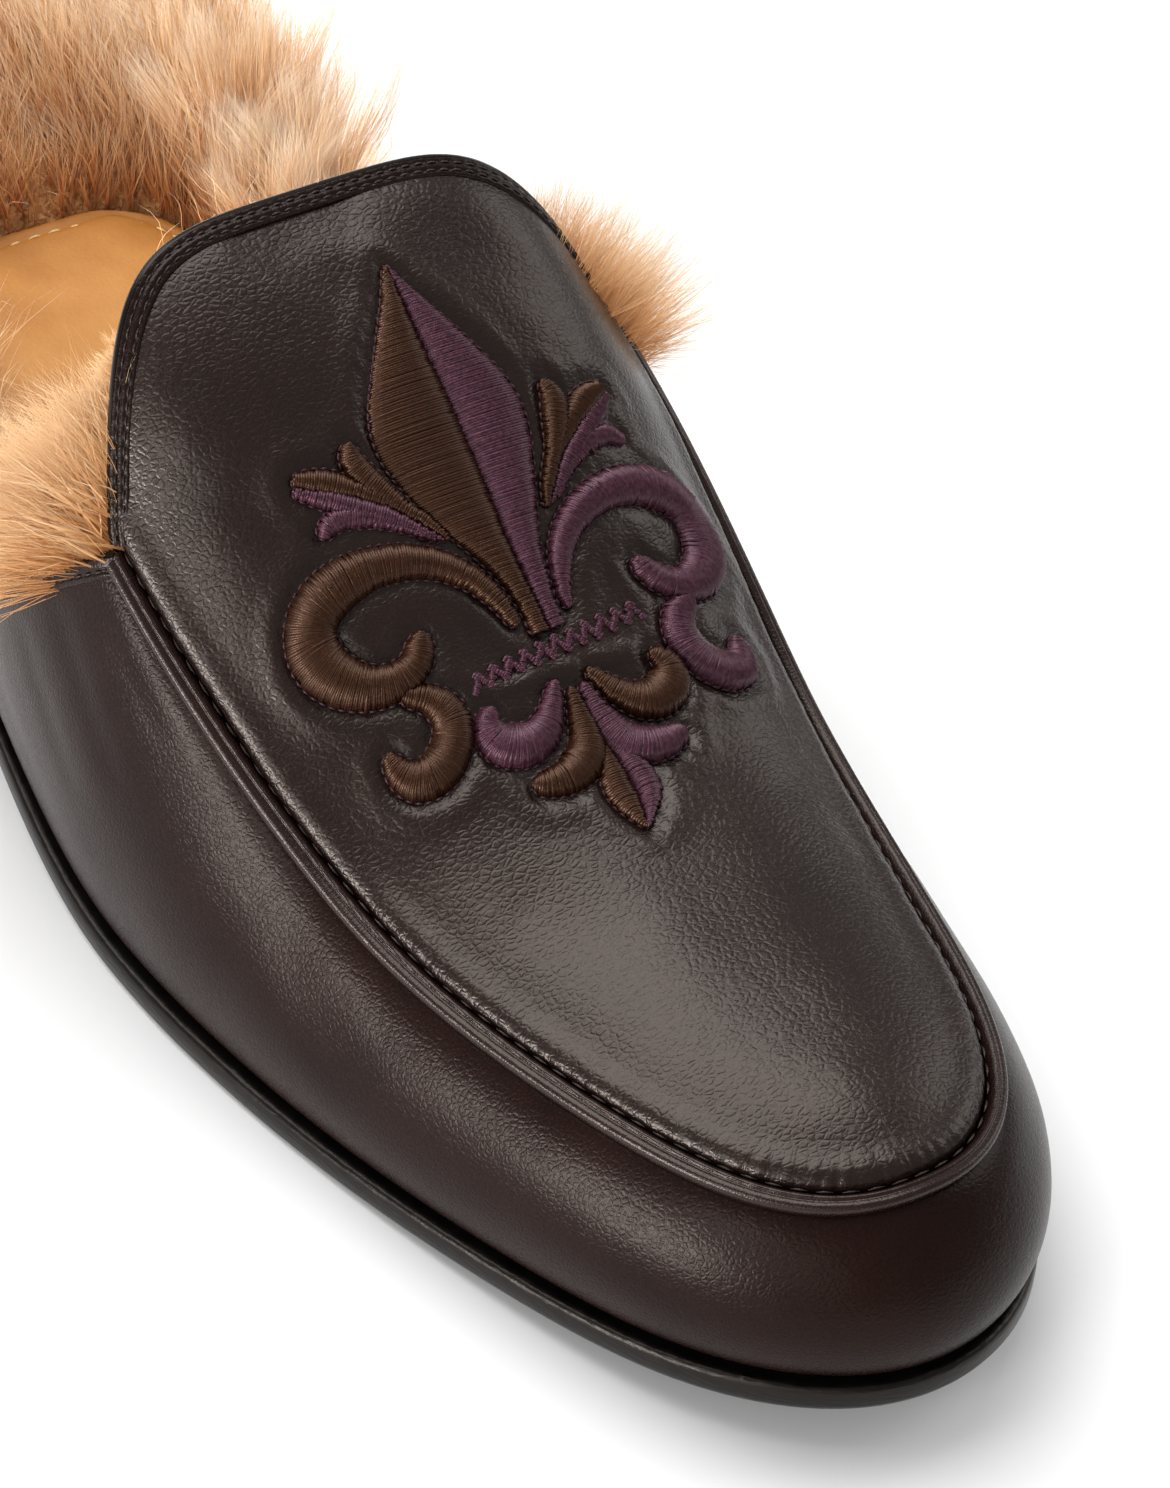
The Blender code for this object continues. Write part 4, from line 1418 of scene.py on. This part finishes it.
def make_pad():
    """Padded leather sock with one row of stitches along its edge."""
    base = SOLE + GAP + INSOLE + GAP
    outer, inner = pad_edge(0.0, 150)
    rim = np.linspace(0, 0.15, 10)
    t = np.concatenate([rim[:-1], np.linspace(0.15, 0.85, 26), 1 - rim[-2::-1]])
    x = outer[:, :1] + (inner[:, :1] - outer[:, :1]) * t
    u = np.broadcast_to(outer[:, 1:], x.shape)
    wide = np.abs(inner[:, :1] - outer[:, :1])
    from_edge = np.minimum(np.minimum(t, 1 - t) * wide, (u - PAD_FROM * LENGTH + 0.05))
    low = sole_z(u / LENGTH) + base
    faces = [quads(*x.shape), quads(*x.shape, offset=x.size)[:, ::-1]]
    index = np.arange(x.size).reshape(x.shape)
    rim = np.concatenate([index[:, 0], index[-1, 1:], index[-2::-1, -1], index[0, -2:0:-1]])
    after = np.roll(rim, -1)
    faces.append(np.stack([rim, rim + x.size, after + x.size, after], 1))
    levels = (low + pad_top(from_edge, x, u), low)
    points = np.concatenate([np.stack([x, u, z], -1).reshape(-1, 3) for z in levels])
    made = piece("sock_pad_leather", points, np.concatenate(faces), SOCK, "sock_leather", ("sock_pad",))
    outer, inner = pad_edge(PAD_SEAM, 150)
    line = np.concatenate([outer[::-1], inner])
    path = np.column_stack([line, sole_z(line[:, 1] / LENGTH) + base + PAD - 0.12])
    stitches = stitch_line(path, np.broadcast_to(UP, path.shape), PAD_PITCH, *PAD_STITCH)
    piece("sock_pad_stitches", *stitches, SOCK_THREAD, "sock_leather")


# ======== fur ==============================================================================
def held_in(curve):
    """Bends hairs round as they pass HAIR_SIDE to either side or HAIR_REAR behind the heel.
    Bends hairs round before they leave the shoe's own box.
    """
    off = curve[..., 0] - SHIFT_X
    far = np.maximum(np.abs(off) - HAIR_SIDE, 0)
    curve[..., 0] = SHIFT_X + np.sign(off) * (np.abs(off) - far + HAIR_BEND * (1 - np.exp(-far / HAIR_BEND)))
    behind = np.maximum(HAIR_REAR - curve[..., 1], 0)
    curve[..., 1] += behind - HAIR_BEND * (1 - np.exp(-behind / HAIR_BEND))
    return curve


def trim_outer(station):
    """Edge of the footbed's pile, in from the sole's edge; below 0 it hangs over."""
    inside = LEDGE + WALL + 3 * GAP
    return -TRIM_OVERHANG + (inside + TRIM_OVERHANG) * between_walls(station, 0.08, 0.06)


# section of the footbed's underwool: share of the way from pad to edge, share of its height
WOOL_SECTION = ((0.0, 0.0), (0.03, 0.30), (0.25, 0.80), (0.6, 1.0), (0.88, 0.7), (1.0, 0.25))
HEEL_REACH = 0.45       # the pad's rounded rear takes up this much of a side's reach


def footbed_place(reach, across):
    """Root place on the footbed pile: reach -1 outer front, 0 heel, 1 inner front; across 0 pad, 1 edge."""
    reach, across = np.broadcast_arrays(np.asarray(reach, float), np.asarray(across, float))
    size = np.abs(reach)
    walk = float(walk_of(TRIM_TO)) * size
    station = station_of(walk)
    rear = PAD_FROM * LENGTH
    bend = rear + PAD_CORNER * (1 - np.cos(np.clip(size / HEEL_REACH, 0, 1) * math.pi / 2)) - 2 * GAP
    part = (size - HEEL_REACH) / (1 - HEEL_REACH)
    straight = rear + PAD_CORNER + (TRIM_TO * LENGTH - rear - PAD_CORNER) * part
    in_u = np.where(size < HEEL_REACH, bend, straight)
    points = np.empty(reach.shape + (3,))
    outward = np.empty(reach.shape + (3,))
    for k, side in enumerate((-1, 1)):
        here = (reach < 0) if side < 0 else (reach >= 0)
        edge = pad_edge(-2 * GAP, 60)[k]
        in_x = np.interp(in_u[here], edge[:, 1], edge[:, 0]) * np.clip(size[here] / 0.02, 0, 1)
        out_x, out_u = edge_point(side, walk[here], trim_outer(station[here]))
        x = in_x + (out_x - in_x) * across[here]
        u = in_u[here] + (out_u - in_u[here]) * across[here]
        height = TRIM_LOW + (TRIM - TRIM_LOW) * eased((TAIL + 0.05 - station[here]) / 0.12)
        z = sole_z(u / LENGTH) + SOLE + INSOLE + 2 * GAP + column(WOOL_SECTION, across[here]) * height
        points[here] = np.stack([x, u, z], -1)
        way = np.stack([out_x - in_x, out_u - in_u[here], 0 * out_x], -1)
        outward[here] = unit(way)
    return points, outward


def make_underwool():
    """Packed wool of the footbed's pile, which the guard hairs grow from."""
    reach = np.linspace(-1, 1, 160)[:, None]
    across = np.array([0.0, 0.03, 0.12, 0.25, 0.45, 0.6, 0.75, 0.88, 1.0])[None, :]
    points, _ = footbed_place(reach, across)
    points[..., 2] += 0.4 * ripple(points[..., 0], points[..., 1], size=5, seed=31)
    low = points[:, -1:] - 2.0 * UP
    grid = np.concatenate([points, low], 1)
    face_up(piece("underwool_footbed", grid, quads(*grid.shape[:2]), WOOL, "trim_fur", ("fur_trim",)))


def make_lining():
    """Hide of the lining: an inner sheet, seen from behind into the vamp."""
    rows, columns = 90, 60
    q = np.linspace(-HIDE_TO_Q, HIDE_TO_Q, rows)
    start = back_walks(q) + 0.006
    end = float(walk_of(0.84))
    walk = start[:, None] + (end - start)[:, None] * np.linspace(0, 1, columns)[None]
    q = np.broadcast_to(q[:, None], walk.shape)
    points, normals, _, _ = skin_frame(walk, q)
    sunk = WALL + HIDE + 0.5 * ripple(points[..., 1], q * 40, size=6, seed=17)
    points = points - normals * sunk[..., None]
    made = piece("lining_hide", points, quads(rows, columns), WOOL, "lining_fur", ("fur_lining",))
    face_up(made)
    solid = made.modifiers.new("thickness", "SOLIDIFY")
    solid.thickness = HIDE * MM
    solid.offset = -1
    solid.use_even_offset = True


def scatter(rng, count, size=1.0):
    """Random vectors."""
    return rng.normal(0, size, (count, 3))


def nearest(points, homes):
    """For each point the number of the closest home."""
    found = np.empty(len(points), int)
    for low in range(0, len(points), 2000):
        part = points[low:low + 2000]
        found[low:low + 2000] = ((part[:, None] - homes[None]) ** 2).sum(-1).argmin(1)
    return found


def grown(rng, roots, aims, lengths, steps, clump, pull, droop, spread, stray, curl):
    """Hair curves gathered in soft locks, their steps from root to tip, and the tone of each hair's lock."""
    count = len(roots)
    locks = rng.choice(count, max(count // clump, 1), replace=False)
    home = nearest(roots, roots[locks])
    lock_count = len(locks)
    lock_aim = unit(aims[locks] + scatter(rng, lock_count, spread))
    lock_long = lengths[locks] * rng.uniform(0.8, 1.12, lock_count)
    sideways = np.cross(lock_aim, unit(scatter(rng, lock_count)))
    lock_bend = sideways * rng.uniform(0.02, 0.28, (lock_count, 1)) - droop * UP
    lock_tone = rng.normal(0, 0.16, lock_count)
    t = np.linspace(0, 1, steps + 1)[None, :, None]
    lock_curve = lock_aim[:, None] * t + lock_bend[:, None] * t ** 2
    guide = roots[locks][:, None] + lock_long[:, None, None] * lock_curve
    own_long = lock_long[home] * rng.uniform(0.55, 1.05, count)
    own_aim = unit(lock_aim[home] + scatter(rng, count, stray))
    own_curve = own_aim[:, None] * t + lock_bend[home][:, None] * t ** 2
    curve = roots[:, None] + own_long[:, None, None] * own_curve
    hold = pull * rng.uniform(0.4, 1.0, (count, 1, 1)) * t ** 1.2
    curve = curve + hold * (guide[home] - curve) * (own_long / lock_long[home])[:, None, None]
    wave = np.cross(own_aim, unit(scatter(rng, count)))[:, None]
    phase = rng.uniform(0, math.tau, (count, 1, 1))
    wave = wave * np.sin(t * 4.5 + phase) * t * curl * own_long[:, None, None]
    return held_in(curve + wave), t, lock_tone[home]


def ribbon_faces(steps):
    """Triangles of one hair: quads in halves up to the last step, which ends in a point."""
    one = []
    for k in range(steps - 1):
        one += [(2 * k, 2 * k + 1, 2 * k + 3), (2 * k, 2 * k + 3, 2 * k + 2)]
    return np.array([*one, (2 * steps - 2, 2 * steps - 1, 2 * steps)])


def strands(name, roots, aims, front, lengths, seed, slot, width=0.11, clump=10, pull=0.35, droop=0.2,
            spread=0.16, stray=0.16, shade=0.55, steps=5, tip=1.0, curl=0.045):
    """Tapering hairs, each a ribbon of flat faces turned towards front.

    In one lock there are clump hairs, drawn together by pull, and locks differ in direction by spread,
    hairs of one lock by stray.
    """
    rng = np.random.default_rng(seed)
    count = len(roots)
    curve, t, tone = grown(rng, roots, aims, lengths, steps, clump, pull, droop, spread, stray, curl)
    flat = unit(np.cross(unit(np.gradient(curve, axis=1)), unit(front + scatter(rng, count, 0.3))[:, None]))
    thin = width * rng.uniform(0.7, 1.25, (count, 1, 1)) * (1 - t ** 1.6)
    left, right = curve - flat * thin / 2, curve + flat * thin / 2
    body = np.stack([left[:, :-1], right[:, :-1]], 2).reshape(count, -1, 3)
    points = np.concatenate([body, curve[:, -1:]], 1)
    faces = copies(ribbon_faces(steps), count, 2 * steps + 1)
    made = piece(name, points.reshape(-1, 3), faces, FUR, slot)
    own_shade = np.clip(shade + tone + rng.normal(0, 0.10, count), 0.02, 0.98)
    # place along the hair in the colour ramp, with its painted root shade and painted tip light; tip stops it
    # short
    up = np.concatenate([np.repeat(t[0, :-1, 0], 2), [1.0]]) * tip
    uv = np.stack(np.broadcast_arrays(own_shade[:, None], up), -1)
    layer = made.data.uv_layers.new(name="OFBake")
    layer.uv.foreach_set("vector", uv.reshape(-1, 2)[faces.ravel()].astype(np.float32).ravel())


def coat(name, roots, aims, front, lengths, seed, slot, **style):
    """Fine guard hairs over a thinner layer of broad soft locks that closes the gaps between them."""
    strands(name, roots, aims, front, lengths, seed, slot, **style)
    order = np.random.default_rng(seed + 5).permutation(len(roots))[:len(roots) // 4]
    # the locks' colour stops at 0.8 of the ramp, short of the painted pale tip
    style.update(width=0.4, clump=3, steps=4, tip=0.8)
    picked = (values[order] for values in (roots, aims, front, lengths * 0.72))
    strands(name + "_locks", *picked, seed + 7, slot, **style)


WALL_LEAN = 95.0        # elevation of the hair beside the walls, degrees


def footbed_fur(name, span, count, seed, long, lean, **style):
    """Hair on the footbed pile over a span of reach.

    long (length) and lean (elevation in degrees) each have a value by the pad and one by the edge.
    """
    rng = np.random.default_rng(seed)
    reach = rng.uniform(*span, count)
    across = rng.uniform(0, 1, count) ** 1.2
    roots, outward = footbed_place(reach, across)
    # between the walls the outer hairs stand up and are shorter, so that none goes through the leather
    under_wall = eased((np.abs(reach) - 0.79) / 0.07) * eased((across - 0.1) / 0.4)
    angle = lean[0] + (lean[1] - lean[0]) * across
    angle = np.radians(angle + (WALL_LEAN - angle) * under_wall)[:, None]
    aims = unit(outward * np.cos(angle) + UP * np.sin(angle))
    lengths = (long[0] + (long[1] - long[0]) * across) * rng.uniform(0.85, 1.1, count)
    lengths *= 1 + 0.22 * ripple(roots[:, 0], roots[:, 1], size=16, seed=seed)
    lengths *= (1 - 0.22 * eased((np.abs(reach) - 0.72) / 0.28)) * (1 - 0.55 * under_wall)
    front = UP * 0.9 - outward * 0.3 + np.array([-0.2, -0.5, 0])
    coat(name, roots, aims, front, lengths, seed + 1, "trim_fur", **style)


# how the lining's hair comes over the back edge: q, outwards, rearwards, up, length
OUTER_EDGE_HAIR = (
    (-1.95, 0.45, 0.85, 0.20, 11),
    (-1.45, 0.30, 0.85, 0.45, 17),
    (-1.25, 0.32, 0.80, 0.52, 22),
    (-1.10, 0.36, 0.78, 0.55, 27),
    (-1.00, 0.36, 0.80, 0.52, 28),
    (-0.93, 0.22, 0.85, 0.50, 24),
    (-0.87, 0.08, 0.90, 0.42, 17),
    (-0.80, -0.05, 0.95, 0.30, 9),
    (-0.70, 0.00, 1.00, 0.20, 4),
)
OUTER_FRINGE_HAIR = (
    (-1.95, 0.80, 0.60, 0.10, 6),
    (-1.30, 0.80, 0.60, 0.10, 6),
    (-1.05, 0.60, 0.70, 0.15, 8),
)
INNER_EDGE_HAIR = (
    (0.70, 0.40, 0.70, 0.45, 9),
    (0.85, 0.80, 0.50, 0.50, 17),
    (1.00, 1.00, 0.35, 0.45, 22),
    (1.20, 1.00, 0.25, 0.30, 21),
    (1.40, 1.00, 0.40, 0.15, 15),
    (1.60, 0.80, 0.70, 0.12, 10),
    (1.95, 0.70, 0.70, 0.10, 9),
)
# a few single hairs that stray over the binding
STRAY_HAIR = (
    (-0.60, 0.10, 0.80, 0.50, 7),
    (-0.35, 0.00, 0.70, 0.75, 12),
    (-0.05, -0.10, 0.70, 0.70, 8),
)


def edge_fur(name, table, count, seed, deep=0.05, grow=coat, **style):
    """Hair of the lining that comes out over the upper's back edge."""
    rng = np.random.default_rng(seed)
    q = rng.uniform(table[0][0], table[-1][0], count)
    side = 1 if table[0][0] > 0 else -1
    knots = np.linspace(table[0][0], table[-1][0], 120)
    depth = rng.uniform(-0.015, deep, count)
    walk = np.interp(q, knots, back_walks(knots)) + depth
    points, normals, _, _ = skin_frame(walk, q)
    roots = points - normals * (WALL + rng.uniform(0.3, 1.6, (count, 1)))
    out, rear, rise, long = (column(table, q, k)[:, None] for k in (1, 2, 3, 4))
    aims = unit(np.concatenate([out * side, -rear, rise], 1))
    lengths = long[:, 0] * rng.uniform(0.8, 1.12, count) + np.maximum(depth, 0) * 80
    front = np.array([side * 0.5, 0.3, 0.8]) + np.zeros((count, 3))
    grow(name, roots, aims, front, lengths, seed + 1, "lining_fur", **style)


def lining_fur(name, count, seed, **style):
    """Clipped pile on the hide inside the vamp, combed rearwards."""
    rng = np.random.default_rng(seed)
    q = rng.uniform(-HAIR_TO_Q, HAIR_TO_Q, count)
    knots = np.linspace(-HAIR_TO_Q, HAIR_TO_Q, 160)
    walk = np.interp(q, knots, back_walks(knots)) + 0.008 + 0.32 * rng.uniform(0, 1, count) ** 1.8
    points, normals, _, _ = skin_frame(np.minimum(walk, math.pi), q)
    roots = points - normals * (WALL + 2.3)
    aims = unit(np.array([0, -0.75, -0.15]) - normals * 0.55)
    lengths = rng.uniform(5.0, 8.5, count)
    front = np.array([0, -1.0, 0.3]) + np.zeros((count, 3))
    strands(name, roots, aims, front, lengths, seed + 1, "lining_fur", **style)


def make_fur():
    """Pile on the footbed, pile inside the vamp, and its hair that comes out over the edges."""
    make_underwool()
    make_lining()
    lining_fur("fur_vamp_lining", count=6000, seed=67, steps=3, width=0.3, clump=16, pull=0.4, spread=0.25,
               shade=0.5)
    footbed_fur("fur_heel", (-0.42, 0.42), count=8000, seed=41, long=(22, 24), lean=(84, 22), steps=4,
                clump=20)
    footbed_fur("fur_inner", (0.40, 1.0), count=18000, seed=43, long=(29, 37), lean=(88, 34), steps=4,
                width=0.12, clump=90, pull=0.75, spread=0.20, stray=0.10, curl=0.03)
    footbed_fur("fur_outer", (-1.0, -0.40), count=6500, seed=45, long=(26, 27), lean=(90, 62), steps=4,
                clump=24, pull=0.5, droop=0.3, curl=0.08, shade=0.6)
    # this hair's colour stops at 0.72 of the ramp, short of the painted pale tip
    edge_fur("fur_outer_edge", OUTER_EDGE_HAIR, count=17000, seed=47, deep=0.02, width=0.10, clump=24,
             pull=0.5, droop=0.22, spread=0.24, curl=0.12, shade=0.2, tip=0.72)
    edge_fur("fur_outer_fringe", OUTER_FRINGE_HAIR, count=700, seed=53, deep=0.0, grow=strands, droop=0.2)
    edge_fur("fur_inner_edge", INNER_EDGE_HAIR, count=7000, seed=49, grow=strands, width=0.085,
             droop=0.05, spread=0.26, shade=0.95)
    edge_fur("fur_strays", STRAY_HAIR, count=16, seed=61, deep=0.004, grow=strands, clump=1, spread=0.45,
             curl=0.12, shade=0.9)


# ======== room and camera ==================================================================
FLOOR_WHITE = (0.87, 0.87, 0.87, 1)
WORLD_WHITE = (1, 1, 1, 1)
WORLD_LIGHT = 0.40
# place, aimed at, width, height, watts
SOFTBOXES = (
    # broad, overhead behind the heel
    ((-0.08, 0.64, 1.30), (-0.08, 0.64, 0.0), 1.30, 1.26, 25.0),
    # low strip along the outer side, for the long light on the wall
    ((-1.27, -0.22, 0.13), (0, 0, 0.03), 0.70, 0.22, 15.0),
    # soft fills from the toe's outer side
    ((-0.86, -0.86, 0.44), (0, 0, 0.03), 0.60, 0.45, 1.4),
    ((-1.06, -0.43, 0.64), (0, 0, 0.03), 0.34, 0.34, 2.3),
    # inner side
    ((1.21, -0.05, 0.73), (0, 0, 0.05), 0.80, 0.70, 3.8),
    # through the fur from behind
    ((-0.35, 1.25, 0.85), (0, 0, 0.05), 0.90, 0.60, 3.6),
)
CAMERA_AT = (-0.2555, -0.4316, 0.4818)
CAMERA_RIGHT = (0.85369, -0.51650, 0.06656)
CAMERA_UP = (0.32118, 0.62279, 0.71342)
LENS = 124.2
LENS_SHIFT = (0.0041, 0.020)


def make_floor():
    """Matt white sweep."""
    bpy.ops.mesh.primitive_plane_add(size=6.0, location=(0, 0, 0))
    floor = bpy.context.object
    floor.name = "floor"
    levels = {"Roughness": 0.9, "IOR": 1.5, "Specular IOR Level": 0.1, "Base Color": FLOOR_WHITE}
    floor.data.materials.append(new_finish("matt_white_sweep", levels)[0])


def make_lights():
    """Softboxes in a white room."""
    world = bpy.data.worlds.new("studio")
    bpy.context.scene.world = world
    world.use_nodes = True
    background = world.node_tree.nodes["Background"]
    background.inputs["Color"].default_value = WORLD_WHITE
    background.inputs["Strength"].default_value = WORLD_LIGHT
    for k, (at, aim, wide, high, watts) in enumerate(SOFTBOXES):
        data = bpy.data.lights.new(f"softbox_{k}", "AREA")
        data.shape = "RECTANGLE"
        data.size = wide
        data.size_y = high
        data.energy = watts
        lamp = bpy.data.objects.new(data.name, data)
        lamp.location = at
        lamp.rotation_euler = (Vector(aim) - Vector(at)).to_track_quat("-Z", "Y").to_euler()
        bpy.context.scene.collection.objects.link(lamp)
    bpy.context.scene.view_settings.view_transform = "Standard"


def make_camera():
    """From above the outer side of the toe, 0.65 m from the vamp, with a long lens."""
    data = bpy.data.cameras.new("camera")
    data.sensor_width = 36.0
    data.lens = LENS
    data.shift_x, data.shift_y = LENS_SHIFT
    data.clip_start = 0.05
    camera = bpy.data.objects.new("camera", data)
    right, up = Vector(CAMERA_RIGHT), Vector(CAMERA_UP)
    turn = Matrix((right, up, right.cross(up).normalized())).transposed().to_4x4()
    camera.matrix_world = Matrix.Translation(CAMERA_AT) @ turn
    bpy.context.scene.collection.objects.link(camera)
    bpy.context.scene.camera = camera


make_camera()
make_floor()
make_lights()
make_apron()
make_wall()
make_piping()
make_seam_stitches()
bind("throat_binding", (-0.985, 0.985), 520, BINDING, BINDING_RISE, (ROW_OUTER, ROW_INNER))
bind("outer_side_edge", (-1.97, -1.0), 160, SIDE_BINDING, SIDE_RISE, (SIDE_ROW,))
bind("inner_side_edge", (1.0, 1.97), 160, SIDE_BINDING, SIDE_RISE, (SIDE_ROW,))
make_embroidery()
make_outsole()
make_heel()
make_insole()
make_pad()
make_fur()
